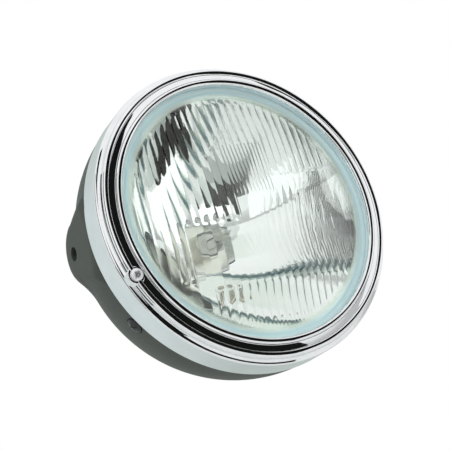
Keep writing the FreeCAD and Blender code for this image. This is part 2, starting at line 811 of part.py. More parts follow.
def build_reflector():
    """The pressed dish, with a flange and a cup round the edge of the glass."""
    hole, mouth = size("bulb_hole"), dish_radius
    gauge = size("dish_gauge")
    cup = lens_radius + size("cup_gap")
    steps = 6
    radii = [hole + (mouth - hole) * index / steps for index in range(steps + 1)]
    outline = Outline(hole, dish_y(hole))
    for radius in radii[1:]:
        outline.line(radius, dish_y(radius))
    (
        outline.line(cup, dish_front)
        .line(cup, clip_front() + size("cup_room"))
        .line(cup + gauge, clip_front() + size("cup_room"))
        .line(cup + gauge, flange_back)
    )
    for radius in reversed(radii):
        outline.line(radius, dish_y(radius, gauge))
    dish = turned_piece("dish", outline)
    hole_tool = cylinder("pilot_opening", size("pilot_hole"), size("pilot_hole") * 2)
    place_pilot(hole_tool, -size("pilot_hole"))
    return named(combine("Part::Cut", "dish_with_pilot_hole", dish, hole_tool), "reflector")


def build_mounting_ring():
    """The pressed ring that carries the glass and reflector, with an aim tab and two pivot lugs."""
    gauge = size("ring_gauge")
    bore = ring_bore
    flange_end = flange_back + size("ring_flange")
    body = turned_piece(
        "mounting_ring",
        Outline(bore, flange_back)
        .line(ring_radius, flange_back)
        .line(ring_radius, ring_back)
        .line(bore + gauge, ring_back)
        .line(bore + gauge, flange_end)
        .line(bore, flange_end),
    )
    tab = new_sketch(body, "aim_tab", "XZ_Plane", -flange_back)
    inner = ring_radius - gauge
    half = size("tab_width") / 2
    corners = [around_aim(inner, -half), around_aim(tab_reach, -half),
               around_aim(tab_reach, half), around_aim(inner, half)]
    outline = Outline(*corners[0])
    for corner in corners[1:]:
        outline.line(*corner)
    outline.draw(tab)
    extrude(body, tab, "Pad", gauge, back=True)
    hole = new_sketch(body, "aim_tab_hole", "XZ_Plane", -flange_back)
    draw_circle(hole, aim_x, aim_z, size("aim_shank") + size("thread_gap") * 2)
    extrude(body, hole, "Pocket", gauge)
    for name, side in (("top", 1), ("bottom", -1)):
        add_pivot_lug(body, name, side)
    return named(body, "mounting_ring")


def around_aim(radius, across):
    """A corner at a radius and a sideways distance from the aim screw's own direction."""
    angle = size("aim_angle")
    return (-(radius * cosine(angle)) + across * sine(angle), -(radius * sine(angle)) - across * cosine(angle))


def add_pivot_lug(body, name, side):
    """A lug on the ring, bent forward into a plate with the pivot hole."""
    gauge = size("ring_gauge")
    half = size("pivot_width") / 2
    hole = size("pivot_pin") + size("pivot_gap")
    plate_top = pivot_plate + gauge
    lug = new_sketch(body, f"{name}_lug", "XZ_Plane", -flange_back)
    edges = sorted((ring_radius * side - gauge * side, plate_top * side), key=lambda s: s.number)
    rectangle(-half, half, *edges).draw(lug)
    extrude(body, lug, "Pad", gauge, back=True)
    plate = new_sketch(body, f"{name}_plate", "XY_Plane", pivot_plate * side)
    rectangle(-half, half, pivot_y - hole - gauge / 2, ring_back).draw(plate)
    extrude(body, plate, "Pad", gauge, back=side < 0)
    pivot = new_sketch(body, f"{name}_pivot", "XY_Plane", plate_top * side)
    draw_circle(pivot, 0, pivot_y, hole)
    extrude(body, pivot, "Pocket", gauge * 2, back=side < 0)


def build_unit_clips():
    """Four spring clips that clasp glass, gasket, reflector and ring together."""
    gauge = size("clip_gauge")
    tip = clip_reach
    back = ring_radius + size("cup_gap") / 2
    front = clip_front()
    body = new_body("clip_strip")
    sketch = new_sketch(body, "clip_section")
    (
        Outline(tip, front)
        .line(back, front)
        .line(back, ring_back)
        .line(tip, ring_back)
        .line(tip, ring_back + gauge)
        .line(back + gauge, ring_back + gauge)
        .line(back + gauge, front - gauge)
        .line(tip, front - gauge)
    ).draw(sketch)
    extrude(body, sketch, "Pad", size("clip_width"), middle=True)
    swing(body, -Y_AXIS, size("clip_angle"))
    lower = mirrored_copy(body, Z_AXIS)
    return group("unit_clips", [body, lower, mirrored_copy(body, X_AXIS), mirrored_copy(lower, X_AXIS)])


def cross_head_screw(name, head, height, shank, length):
    """A pan-head screw along its own Z axis, with the underside of its head at zero."""
    body = new_body(name)
    section = new_sketch(body, f"{name}_section", "XZ_Plane")
    (
        Outline(0, -length)
        .line(shank, -length)
        .line(shank, 0)
        .line(head, 0)
        .line(head, height / 2)
        .line(head * 0.7, height)
        .line(0, height)
    ).draw(section)
    revolve(body, section)
    recess = new_sketch(body, f"{name}_recess", "XY_Plane", height)
    cross(size("recess_length"), size("recess_width")).draw(recess)
    extrude(body, recess, "Pocket", size("recess_depth"))
    return body


def hex_nut(name, flats, height, bore, turn=0.0):
    """A nut along its own Z axis, standing on zero."""
    body = new_body(name)
    sketch = new_sketch(body, f"{name}_section")
    hexagon(flats, as_size(turn)).draw(sketch)
    draw_circle(sketch, 0, 0, bore)
    extrude(body, sketch, "Pad", height)
    return body


def build_aim_parts():
    """The aim screw, the nut that it drives and the spring between rim and tab."""
    screw = cross_head_screw(
        "aim_screw_body", size("aim_head_radius"), size("aim_head_height"), size("aim_shank"), aim_length
    )
    swing(screw, X_AXIS, as_size(90))
    move(screw, aim_x, seat_face - size("slip_gap"), aim_z)
    named(screw, "aim_screw")
    nut = hex_nut("aim_nut_body", size("aim_nut_flats"), size("aim_nut_height"),
                  size("aim_shank") + size("thread_gap"), -(size("aim_angle") + 30))
    swing(nut, X_AXIS, as_size(-90))
    move(nut, aim_x, ring_back, aim_z)
    named(nut, "aim_nut")
    named(build_spring(), "aim_spring")


def build_spring():
    """A coil of square wire in straight steps, between the back of the rim's seat and the aim tab."""
    steps = 10
    wire = size("spring_wire").number
    start = (seat_face + size("rim_gauge")).number + wire / 2
    length = flange_back.number - wire / 2 - start - size("slip_gap").number * 2
    count = round(size("spring_turns").number * steps)
    radius = size("spring_radius").number
    points = []
    for index in range(count + 1):
        angle = 2 * math.pi * index / steps
        points.append(FreeCAD.Vector(radius * math.cos(angle), radius * math.sin(angle), length * index / count))
    half = wire / 2
    centre = points[0]
    corners = [centre + FreeCAD.Vector(dx, 0, dz) for dx, dz in
               ((-half, -half), (half, -half), (half, half), (-half, half), (-half, -half))]
    pipe = Part.makePolygon(points).makePipeShell([Part.makePolygon(corners)], True, True, 1)
    item = doc.addObject("Part::Feature", "spring_coil")
    item.Shape = pipe
    item.Placement = FreeCAD.Placement(
        FreeCAD.Vector(aim_x.number, start, aim_z.number), FreeCAD.Rotation(X_AXIS, -90)
    )
    return item


def inside_band(node, body):
    """Trims a bracket's foot to the inside of the rim's band."""
    bore = cylinder(f"{node}_bore", rim_inside, size("lip_setback"))
    swing(bore, X_AXIS, as_size(90))
    return combine("Part::Common", f"{node}_trimmed", body, bore)


def build_pivot_brackets():
    """Two brackets inside the rim with the pivot pins. The top one also hooks under the shell's spigot."""
    gauge = size("ring_gauge")
    seat = bracket_seat
    width = size("bracket_width")
    front = pivot_y - size("pivot_pin") - size("pivot_gap")
    foot_front = shoulder_y + gauge / 2
    foot_back = spigot_front - gauge * 2
    above = band_radius
    hook_top = root(spigot_bore * spigot_bore - width * width / 4) - size("hook_drop")
    hook_end = foot_back + size("hook_length")
    top = (
        Outline(front, seat)
        .line(foot_back - gauge, seat)
        .line(foot_back - gauge, hook_top - gauge)
        .line(hook_end, hook_top - gauge)
        .line(hook_end, hook_top)
        .line(foot_back, hook_top)
        .line(foot_back, above)
        .line(foot_front, above)
        .line(foot_front, strip_top)
        .line(front, strip_top)
    )
    bottom = (
        Outline(front, seat)
        .line(foot_back, seat)
        .line(foot_back, above)
        .line(foot_front, above)
        .line(foot_front, strip_top)
        .line(front, strip_top)
    )
    for node, outline in (("top_bracket", top), ("bottom_bracket", bottom)):
        body = new_body(f"{node}_body")
        side = new_sketch(body, f"{node}_side", "YZ_Plane")
        outline.draw(side)
        extrude(body, side, "Pad", width, middle=True)
        hole = new_sketch(body, f"{node}_hole", "XY_Plane", strip_top)
        draw_circle(hole, 0, pivot_y, size("pivot_pin") + size("slip_gap"))
        extrude(body, hole, "Pocket", gauge * 2)
        bracket = inside_band(node, body)
        if node == "bottom_bracket":
            bracket = mirrored_copy(bracket, Z_AXIS)
        named(bracket, node)
    pin_foot = pivot_plate - gauge / 2
    shank = cylinder("pivot_shank", size("pivot_pin"), strip_top - pin_foot)
    move(shank, 0, pivot_y, pin_foot)
    collar = cylinder("pivot_collar", size("pivot_pin") * 1.5, gauge / 2)
    move(collar, 0, pivot_y, seat - gauge / 2)
    pin = combine("Part::Fuse", "pivot_pin_top", shank, collar)
    group("pivot_pins", [pin, mirrored_copy(pin, Z_AXIS)])


def build_side_fixings():
    """Brackets inside the rim at the two retaining screws, with the screws and their nuts."""
    gauge = size("ring_gauge")
    foot_front = shoulder_y + gauge / 2
    foot_back = spigot_front - gauge * 2
    foot = rim_inside - gauge * 1.3
    tongue = tongue_top
    tongue_end = screw_y + size("screw_boss")
    body = new_body("side_bracket_body")
    side = new_sketch(body, "side_bracket_section")
    (
        Outline(foot, foot_front)
        .line(band_radius, foot_front)
        .line(band_radius, foot_back)
        .line(tongue, foot_back)
        .line(tongue, tongue_end)
        .line(tongue - gauge, tongue_end)
        .line(tongue - gauge, foot_back - gauge)
        .line(foot, foot_back - gauge)
    ).draw(side)
    extrude(body, side, "Pad", size("tongue_width"), middle=True)
    hole = new_sketch(body, "side_bracket_hole", "YZ_Plane", tongue)
    draw_circle(hole, screw_y, 0, size("screw_shank") + size("thread_gap"))
    extrude(body, hole, "Pocket", gauge * 2)
    bracket = inside_band("side_bracket", body)
    swing(bracket, Y_AXIS, size("screw_angle"))
    group("side_brackets", [bracket, mirrored_copy(bracket, X_AXIS)])
    screw = cross_head_screw(
        "retaining_screw", size("screw_head"), size("screw_head_height"), size("screw_shank"), size("screw_length")
    )
    place_radially(screw, screw_seat)
    group("retaining_screws", [screw, mirrored_copy(screw, X_AXIS)])
    nut = hex_nut("retaining_nut", size("screw_nut_flats"), size("screw_nut_height"),
                  size("screw_shank") + size("slip_gap"))
    place_radially(nut, tongue - gauge - size("screw_nut_height"))
    group("retaining_nuts", [nut, mirrored_copy(nut, X_AXIS)])


def place_radially(item, distance):
    """Stands an item on the right retaining screw's axis, at a distance from the lamp's axis."""
    angle = size("screw_angle")
    swing(item, Y_AXIS, as_size(90) + angle)
    move(item, distance * cosine(angle), screw_y, -(distance * sine(angle)))


def build_ear_nuts():
    nut = hex_nut("ear_nut", size("nut_flats"), size("nut_height"), size("ear_hole") / 2)
    swing(nut, Y_AXIS, as_size(90))
    move(nut, ear_face - size("ear_wall") - size("nut_height"), 0, 0)
    group("ear_nuts", [nut, mirrored_copy(nut, X_AXIS)])


def build_grommet():
    """A rubber bush with a groove that the shell's rear wall sits in."""
    inner = bowl_back - size("shell_wall")
    outer = bowl_back
    groove = size("cable_hole") / 2 - size("slip_gap")
    flange = grommet_flange
    bore = size("grommet_bore")
    section = (
        Outline(bore, inner - size("grommet_lip"))
        .line(flange, inner - size("grommet_lip"))
        .line(flange, inner)
        .line(groove, inner)
        .line(groove, outer)
        .line(flange, outer)
        .line(flange, outer + size("grommet_lip"))
        .line(bore, outer + size("grommet_lip"))
    )
    return named(turned_piece("cable_grommet", section), "cable_grommet")


def build_bulb():
    """The main bulb: seat, metal base, glass, shield, filaments, insulator, blades, clip and boot."""
    seat_gauge = size("flange_gauge")
    sleeve, outer = seat_sleeve, seat_outer
    skirt = dish_y(outer - seat_gauge, size("dish_gauge")) + size("slip_gap")
    named(turned_piece(
        "bulb_seat",
        Outline(sleeve - seat_gauge, hole_edge - seat_gauge / 2)
        .line(sleeve, hole_edge - seat_gauge / 2)
        .line(sleeve, flange_y - seat_gauge)
        .line(outer - seat_gauge, flange_y - seat_gauge)
        .line(outer - seat_gauge, skirt)
        .line(outer, skirt)
        .line(outer, flange_y)
        .line(sleeve - seat_gauge, flange_y),
    ), "bulb_seat")
    barrel = size("bulb_barrel")
    cup_bore = size("glass_radius") + size("slip_gap")
    named(turned_piece(
        "bulb_base",
        Outline(cup_bore, flange_y - size("cup_length"))
        .line(bulb_cup, flange_y - size("cup_length"))
        .line(bulb_cup, flange_y)
        .line(size("bulb_flange"), flange_y)
        .line(size("bulb_flange"), barrel_y)
        .line(barrel, barrel_y)
        .line(barrel, plug_y)
        .line(0, plug_y)
        .line(0, flange_y)
        .line(cup_bore, flange_y),
    ), "bulb_base")
    named(turned_piece("bulb_insulator", rectangle(0, barrel, plug_y, blade_y)), "bulb_insulator")
    build_glass()
    build_filaments()
    build_blades()
    build_bulb_clip()
    ease = size("slip_gap")
    wall = size("boot_wall")
    lip = outer + ease
    neck = barrel + ease
    named(turned_piece(
        "bulb_boot",
        Outline(lip, flange_y - seat_gauge * 3)
        .line(lip + wall, flange_y - seat_gauge * 3)
        .line(lip + wall, flange_y + wall)
        .line(neck + wall, plug_y)
        .line(neck + wall, blade_y)
        .line(neck, blade_y)
        .line(neck, plug_y)
        .line(lip, flange_y + wall),
    ), "bulb_boot")


def build_glass():
    """A closed glass tube with a rounded tip and a pinched foot."""
    radius = size("glass_radius")
    wall = size("glass_wall")
    tip = flange_y - size("glass_reach")
    named(turned_piece(
        "bulb_glass",
        Outline(0, tip)
        .bend(0, tip + radius, radius, -60, 0, 2)
        .line(radius, flange_y)
        .line(0, flange_y)
        .line(0, flange_y - wall * 2)
        .line(radius - wall, flange_y - wall * 2)
        .bend(0, tip + radius, radius - wall, 0, -60, 2)
        .line(0, tip + wall),
    ), "bulb_glass")


def build_filaments():
    """Two coils on wire legs, and the dip shield under the front one."""
    foot = flange_y - size("glass_wall") * 2
    tip = flange_y - size("glass_reach")
    leg = size("glass_wall") / 3
    coil = size("glass_wall")
    coil_length = size("glass_radius") / 2
    arm = size("glass_radius") / 3
    coils = []
    for name, place in (("dip", tip + size("glass_radius") * 1.4), ("main", tip + size("glass_radius") * 2.4)):
        turns = along_axis(f"{name}_coil", coil, place, coil_length, 0, 0)
        for mark, side in (("near", 1), ("far", -1)):
            start = place if side < 0 else place + coil_length - leg * 2
            inner = 0 if side > 0 else -arm
            link = box(f"{name}_{mark}_link", arm, leg * 2, leg * 2, (inner, start, -leg))
            wire = box(f"{name}_{mark}_leg", leg * 2, foot - start, leg * 2, (arm * side - leg, start, -leg))
            bend = combine("Part::Fuse", f"{name}_{mark}_wire", link, wire)
            turns = combine("Part::Fuse", f"{name}_{mark}_joined", turns, bend)
        coils.append(turns)
    group("bulb_filaments", coils)
    shield = new_body("shield_body")
    section = new_sketch(shield, "shield_section")
    rim = size("glass_radius") / 2
    front = tip + size("glass_radius") * 1.1
    rectangle(rim, rim + leg, front, front + size("glass_radius")).draw(section)
    half_turn = revolve(shield, section, turn=170)
    half_turn.Midplane = True
    swing(shield, Y_AXIS, as_size(90))
    stem = box("shield_stem", leg * 4, foot - front, leg, (-(leg * 2), front, -(rim + leg)))
    named(combine("Part::Fuse", "shield_with_stem", shield, stem), "bulb_shield")


def along_axis(name, radius, start, length, x, z):
    """A rod parallel to the lamp's axis, from a start towards the rear."""
    item = cylinder(name, radius, length)
    swing(item, X_AXIS, as_size(-90))
    move(item, x, start, z)
    return item


def build_blades():
    """Three terminal blades, two upright and one across the top."""
    width, gauge, length = size("blade_width"), size("blade_gauge"), size("blade_length")
    offset = width * 0.9
    upright = [
        box(f"{name}_blade", gauge, length, width, (offset * side - gauge / 2, blade_y, -(width * 0.7)))
        for name, side in (("left", -1), ("right", 1))
    ]
    across = box("top_blade", width, length, gauge, (-(width / 2), blade_y, offset))
    group("bulb_terminals", upright + [across])


def build_bulb_clip():
    """A bent wire spring across the back of the bulb's flange."""
    wire = size("clip_wire")
    level = barrel_y + wire
    reach = size("bulb_barrel") + wire * 2
    half = size("bulb_barrel") * 1.25
    legs = []
    for name, side in (("left", -1), ("right", 1)):
        leg = cylinder(f"clip_{name}_leg", wire, half * 2)
        move(leg, reach * side, level, -half)
        legs.append(leg)
    bridge = cylinder("clip_bridge", wire, reach * 2)
    swing(bridge, Y_AXIS, as_size(90))
    move(bridge, -reach, level, half)
    pair = combine("Part::Fuse", "clip_first_bend", legs[0], bridge)
    named(combine("Part::Fuse", "clip_second_bend", pair, legs[1]), "bulb_clip")


def place_pilot(item, distance):
    """Stands an item on the parking lamp's axis, square to the reflector, at a distance behind its face."""
    slope = arc_tangent(size("pilot_drop") / (2 * size("focal_length")))
    swing(item, X_AXIS, -(as_size(90) + slope))
    move(item, 0, dish_y(size("pilot_drop")) + distance * cosine(slope),
         -(size("pilot_drop") + distance * sine(slope)))


def build_pilot():
    """The parking lamp: push-in holder, wedge bulb and two blades."""
    gauge = size("dish_gauge")
    socket = size("pilot_glass") + size("slip_gap")
    neck = size("pilot_hole") - size("pivot_gap")
    tail = size("pilot_tail")
    foot = tail / 2
    holder = new_body("pilot_holder_body")
    section = new_sketch(holder, "pilot_holder_section", "XZ_Plane")
    (
        Outline(socket, -gauge)
        .line(neck, -gauge)
        .line(neck, gauge)
        .line(pilot_flange, gauge)
        .line(pilot_flange, gauge * 3)
        .line(neck, gauge * 3)
        .line(neck, tail)
        .line(0, tail)
        .line(0, foot)
        .line(socket, foot)
    ).draw(section)
    revolve(holder, section)
    place_pilot(holder, as_size(0))
    named(holder, "pilot_holder")
    glass = size("pilot_glass")
    bulb = new_body("pilot_bulb_body")
    section = new_sketch(bulb, "pilot_bulb_section", "XZ_Plane")
    (
        Outline(0, -size("pilot_reach"))
        .bend(0, glass - size("pilot_reach"), glass, -60, 0, 2)
        .line(glass, foot)
        .line(0, foot)
    ).draw(section)
    revolve(bulb, section)
    place_pilot(bulb, as_size(0))
    named(bulb, "pilot_bulb")
    blades = []
    width, thick = size("blade_width") * 0.8, size("blade_gauge")
    for name, side in (("left", -1), ("right", 1)):
        blade = new_body(f"pilot_{name}_blade")
        sketch = new_sketch(blade, f"pilot_{name}_blade_section", "XY_Plane", tail)
        centre = glass * 0.6 * side
        rectangle(centre - thick / 2, centre + thick / 2, -(width / 2), width / 2).draw(sketch)
        extrude(blade, sketch, "Pad", size("blade_length"))
        place_pilot(blade, as_size(0))
        blades.append(blade)
    group("pilot_terminals", blades)


def check_and_write():
    """Stops on any failed object, then writes one file for each piece."""
    doc.recompute()
    failed = [item.Name for item in doc.Objects if "Invalid" in item.State or "Error" in item.State]
    if failed:
        raise RuntimeError(f"failed objects: {failed}")
    for node, item in NODES.items():
        shape = item.Shape
        if shape.isNull() or not shape.isValid() or not shape.Solids:
            raise RuntimeError(f"bad shape: {node}")
    os.makedirs("parts", exist_ok=True)
    for node, item in NODES.items():
        item.Shape.exportStep(f"parts/{node}.step")


build_shell()
build_rim()
build_lens()
build_gasket()
build_reflector()
build_mounting_ring()
build_unit_clips()
build_aim_parts()
build_pivot_brackets()
build_side_fixings()
build_ear_nuts()
build_grommet()
build_bulb()
build_pilot()
check_and_write()
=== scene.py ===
import bpy
import json
import math
import numpy as np
from mathutils import Matrix, Vector


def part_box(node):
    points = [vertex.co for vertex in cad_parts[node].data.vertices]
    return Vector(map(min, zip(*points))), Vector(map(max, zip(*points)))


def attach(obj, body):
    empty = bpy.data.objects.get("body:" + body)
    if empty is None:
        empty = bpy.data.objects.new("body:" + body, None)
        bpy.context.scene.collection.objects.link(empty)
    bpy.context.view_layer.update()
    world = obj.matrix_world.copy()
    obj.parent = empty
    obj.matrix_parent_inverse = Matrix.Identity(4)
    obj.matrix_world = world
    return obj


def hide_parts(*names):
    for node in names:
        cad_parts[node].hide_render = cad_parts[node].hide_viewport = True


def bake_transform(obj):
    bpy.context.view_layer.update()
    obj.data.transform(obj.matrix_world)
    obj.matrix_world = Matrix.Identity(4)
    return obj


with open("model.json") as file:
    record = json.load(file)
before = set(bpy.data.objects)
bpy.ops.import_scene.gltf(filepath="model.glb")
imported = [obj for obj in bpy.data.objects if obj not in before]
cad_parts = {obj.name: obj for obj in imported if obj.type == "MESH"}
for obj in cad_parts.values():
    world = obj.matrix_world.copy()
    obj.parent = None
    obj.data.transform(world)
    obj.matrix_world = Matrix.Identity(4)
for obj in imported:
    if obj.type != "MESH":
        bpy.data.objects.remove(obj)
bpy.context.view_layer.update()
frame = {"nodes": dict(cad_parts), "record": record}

MM = 0.001

# Round motorcycle headlight: moulded shell, stamped chrome rim, fluted glass and a parabolic mirror.
# The pieces are given in millimetres in the lamp's own frame: the glass faces -Y and +Z is up.
# The camera and the studio are given in metres.
LIP_Y = -50.0
RIM_REAR = -26.5
SHELL_RADIUS = 93.8
SHELL_WALL = 2.8
BOWL_START = -22.0
BOWL_BEND = 75.4
AIM_RADIUS = 88.8
AIM_ANGLE = 21.7
AIM_X = -AIM_RADIUS * math.cos(math.radians(AIM_ANGLE))
AIM_Z = -AIM_RADIUS * math.sin(math.radians(AIM_ANGLE))
SCREW_ANGLE = 34.5
SCREW_Y = -21.0


def leave_edit():
    """Back to object mode with nothing selected."""
    if bpy.context.mode != "OBJECT":
        bpy.ops.object.mode_set(mode="OBJECT")
    bpy.ops.object.select_all(action="DESELECT")


def work_on(piece):
    """Makes one piece the only selected one."""
    leave_edit()
    piece.select_set(True)
    bpy.context.view_layer.objects.active = piece
    return piece


def edit_all():
    """Into edit mode on the active piece, with all of it selected."""
    bpy.ops.object.mode_set(mode="EDIT")
    bpy.ops.mesh.select_all(action="SELECT")


def primitive(kind, name, **settings):
    """A new primitive with nothing else selected."""
    leave_edit()
    getattr(bpy.ops.mesh, f"primitive_{kind}_add")(**settings)
    piece = bpy.context.object
    piece.name = name
    piece.data.name = name
    return piece


def smooth(piece, angle):
    """Smooths the edges that turn by less than an angle."""
    work_on(piece)
    bpy.ops.object.shade_smooth_by_angle(angle=math.radians(angle))
    return piece


def settle(piece, angle):
    """Merges doubles, turns all faces outwards and smooths the soft edges."""
    work_on(piece)
    edit_all()
    bpy.ops.mesh.remove_doubles(threshold=1e-6)
    bpy.ops.mesh.normals_make_consistent(inside=False)
    bpy.ops.object.mode_set(mode="OBJECT")
    return smooth(piece, angle)


def turned(name, profile, steps, angle=35.0):
    """A turned piece about the Y axis: one vertex is extruded along (radius, y) points and spun round."""
    piece = primitive("plane", name, size=MM)
    edit_all()
    bpy.ops.mesh.merge(type="CENTER")
    here = Vector((0, 0, 0))
    for number, (radius, depth) in enumerate(profile):
        there = Vector((radius * MM, depth * MM, 0))
        if number == 0:
            bpy.ops.transform.translate(value=there - here)
        else:
            bpy.ops.mesh.extrude_vertices_move(TRANSFORM_OT_translate={"value": there - here})
        here = there
    bpy.ops.mesh.select_all(action="SELECT")
    bpy.ops.mesh.spin(steps=steps, angle=math.tau, center=(0, 0, 0), axis=(0, 1, 0))
    return settle(piece, angle)


def bend(radius, depth, size, first, last, count):
    """Points round a bend in a profile, from the first angle to the last."""
    turn = [math.radians(first + (last - first) * step / count) for step in range(count + 1)]
    return [(radius + size * math.cos(angle), depth + size * math.sin(angle)) for angle in turn]


def place(piece, matrix):
    """Puts the place of a finished piece into its mesh."""
    piece.matrix_world = matrix
    work_on(piece)
    bpy.ops.object.transform_apply(location=True, rotation=True, scale=True)
    return piece


def cut(piece, tool):
    """Cuts a tool's shape out of a piece, and the tool is then gone."""
    work_on(piece)
    change = piece.modifiers.new("cut", "BOOLEAN")
    change.operation = "DIFFERENCE"
    change.object = tool
    change.solver = "EXACT"
    bpy.ops.object.modifier_apply(modifier=change.name)
    bpy.data.objects.remove(tool)
    return piece


def join(name, pieces):
    """One object from several."""
    leave_edit()
    for piece in pieces:
        piece.select_set(True)
    bpy.context.view_layer.objects.active = pieces[0]
    bpy.ops.object.join()
    pieces[0].name = name
    pieces[0].data.name = name
    return pieces[0]


def copy_of(piece, name):
    """A copy with its own mesh."""
    work_on(piece)
    bpy.ops.object.duplicate()
    twin = bpy.context.object
    twin.name = name
    return twin


def positions(piece):
    """The piece's vertices as millimetres."""
    spots = np.empty(len(piece.data.vertices) * 3)
    piece.data.vertices.foreach_get("co", spots)
    return spots.reshape(-1, 3) / MM


def set_positions(piece, spots):
    """Moves the piece's vertices to these millimetres."""
    piece.data.vertices.foreach_set("co", (spots * MM).ravel())
    piece.data.update()


def fade(value, start, end):
    """A soft step from 0 at start to 1 at end."""
    share = np.clip((value - start) / (end - start), 0, 1)
    return share * share * (3 - 2 * share)


# Chrome rim
LIP_RADIUS, LIP_EDGE, GAUGE = 80.2, LIP_Y + 0.6, 1.0
BEAD, BEAD_AT, BEAD_END, BEAD_FILLET = 2.0, (82.2, LIP_Y - 0.4), 345, 0.5
FLOOR = [(85.1, -50.37), (85.75, -50.17), (86.4, -50.0), (87.0, -49.86)]
FLOOR_BACK = [(87.0, -48.8), (85.0, -49.4)]
SECOND, SECOND_AT, SECOND_START = 2.25, (89.3, LIP_Y + 1.65), 218
CREASE_RADIUS = SECOND_AT[0] + SECOND
CREASE_Y, CREASE_FILLET, FILLET_END = LIP_Y + 4.0, 0.35, 106
SLOPE = [(92.4, -45.62), (93.0, -45.3)]
SHOULDER, SHOULDER_Y, SHOULDER_START = 1.5, -43.8, -62
BAND_RADIUS, BAND_RINGS = 94.5, (-40.0, -36.0, -32.0, -29.0)
HEM, RIM_END = 0.5, RIM_REAR - 0.1
SEAT_RADIUS, SEAT_Y = 5.3, LIP_Y - 0.2
PAD_BORE, PAD_CHAMFER, PAD_EDGE, PAD_REAR = 2.3, 0.25, 0.8, -45.0
PAD_SHORT, PAD_SWING = -48.6, (86.0, 91.0)


def stamped_rim():
    """The rim: lip, two beads with a sloping floor between, crease, shoulder, band and the aim screw's pad."""
    reach, turn = BEAD + BEAD_FILLET, math.radians(360 - BEAD_END)
    fillet_at = (BEAD_AT[0] + reach * math.cos(turn), BEAD_AT[1] - reach * math.sin(turn))
    crease_at = (CREASE_RADIUS + CREASE_FILLET, CREASE_Y - CREASE_FILLET)
    shoulder_at = (BAND_RADIUS - SHOULDER, SHOULDER_Y)
    outside = [(LIP_RADIUS, LIP_EDGE)]
    outside += bend(*BEAD_AT, BEAD, 180, BEAD_END, 26)
    outside += bend(*fillet_at, BEAD_FILLET, BEAD_END - 180, FILLET_END, 5)[1:]
    outside += FLOOR
    outside += bend(*SECOND_AT, SECOND, SECOND_START, 360, 22)
    outside += [(CREASE_RADIUS, CREASE_Y - 0.5)]
    outside += bend(*crease_at, CREASE_FILLET, 180, FILLET_END, 4)
    outside += SLOPE
    outside += bend(*shoulder_at, SHOULDER, SHOULDER_START, 0, 12)
    outside += [(BAND_RADIUS, depth) for depth in (*BAND_RINGS, RIM_END - HEM)]
    outside += bend(BAND_RADIUS - HEM, RIM_END - HEM, HEM, 0, 90, 5)
    inside = [(BAND_RADIUS - GAUGE, RIM_END)]
    inside += bend(*shoulder_at, SHOULDER - GAUGE, 0, SHOULDER_START, 4)
    inside += [(CREASE_RADIUS - GAUGE + 0.4, CREASE_Y + GAUGE)]
    inside += bend(*SECOND_AT, SECOND - GAUGE, 360, SECOND_START, 8)
    inside += FLOOR_BACK
    inside += bend(*BEAD_AT, BEAD - GAUGE, BEAD_END, 180, 10)
    inside += [(LIP_RADIUS + GAUGE, LIP_EDGE), outside[0]]
    ring = turned("stamped_rim", outside + inside, steps=400, angle=30)
    return join("stamped_rim", [ring, screw_pad()])


def screw_pad():
    """The aim screw's pad: a shallow cup pressed into the rim, cut short where the glass swings past it."""
    back, wall = SEAT_Y + GAUGE, SEAT_RADIUS - GAUGE
    profile = [(PAD_BORE, back), (PAD_BORE, SEAT_Y + PAD_CHAMFER), (PAD_BORE + PAD_CHAMFER, SEAT_Y)]
    profile += bend(SEAT_RADIUS - PAD_EDGE, SEAT_Y + PAD_EDGE, PAD_EDGE, -90, 0, 6)
    profile += [(SEAT_RADIUS, PAD_REAR), (wall, PAD_REAR), (wall, back)]
    pad = turned("screw_pad", profile + profile[:1], steps=64)
    place(pad, Matrix.Translation(Vector((AIM_X, 0, AIM_Z)) * MM))
    spots = positions(pad)
    radius = np.hypot(spots[:, 0], spots[:, 2])
    rear = spots[:, 1] > PAD_REAR - 1.0
    spots[rear, 1] = PAD_SHORT + (PAD_REAR - PAD_SHORT) * fade(radius[rear], *PAD_SWING)
    set_positions(pad, spots)
    return pad


# Glass
DOME, DOME_Y, GLASS = 360.0, 305.0, 3.6
LENS_EDGE, LENS_CHAMFER, LAND_EDGE, LAND_Y = 84.2, 0.3, 79.0, -42.2
FRONT_RINGS = (*np.linspace(0, 80, 41), *np.linspace(81.5, LENS_EDGE - 0.4, 3))
BACK_RINGS = (78.0, 76.5, 75.0, 73.4)
FLUTE_EDGE, SHEET_EDGE = 72.3, 72.6
FLUTE_FADE = (FLUTE_EDGE - 2.2, FLUTE_EDGE - 0.4)
PLAIN_PITCH, FINE_PITCH = 5.0, 2.5
COLUMNS_A_FLUTE, SHEET_COLUMNS, SHEET_ROWS = 12.0, 350, 140
BLOCK_LEFT, BLOCK_RIGHT, BLOCK_LOW, BLOCK_TOP = -9.0, 20.0, 8.0, 40.0
KERB_X, KERB_Z, KERB_RISE, KERB_RUN = 14.0, 17.0, 6.0, 55.0
CROWN_LOW, TAIL_RIGHT, TAIL_LOW = -8.0, -46.0, -40.0
APRON_LEFT, APRON_RIGHT, APRON_TOP = -36.0, 57.0, -45.0
HEM_TOP, HEM_RADIUS, HEM_STRETCH = -48.0, 66.0, 3.2
MIDDLE_FLUTE, CROWN_FLUTE, BLOCK_FLUTE, APRON_FLUTE, HEM_FLUTE = 0.05, 0.38, 0.26, 0.4, 0.22


def dome(radius, thickness):
    """Where a dome's surface lies at some radius."""
    return DOME_Y - np.sqrt((DOME - thickness) ** 2 - radius ** 2)


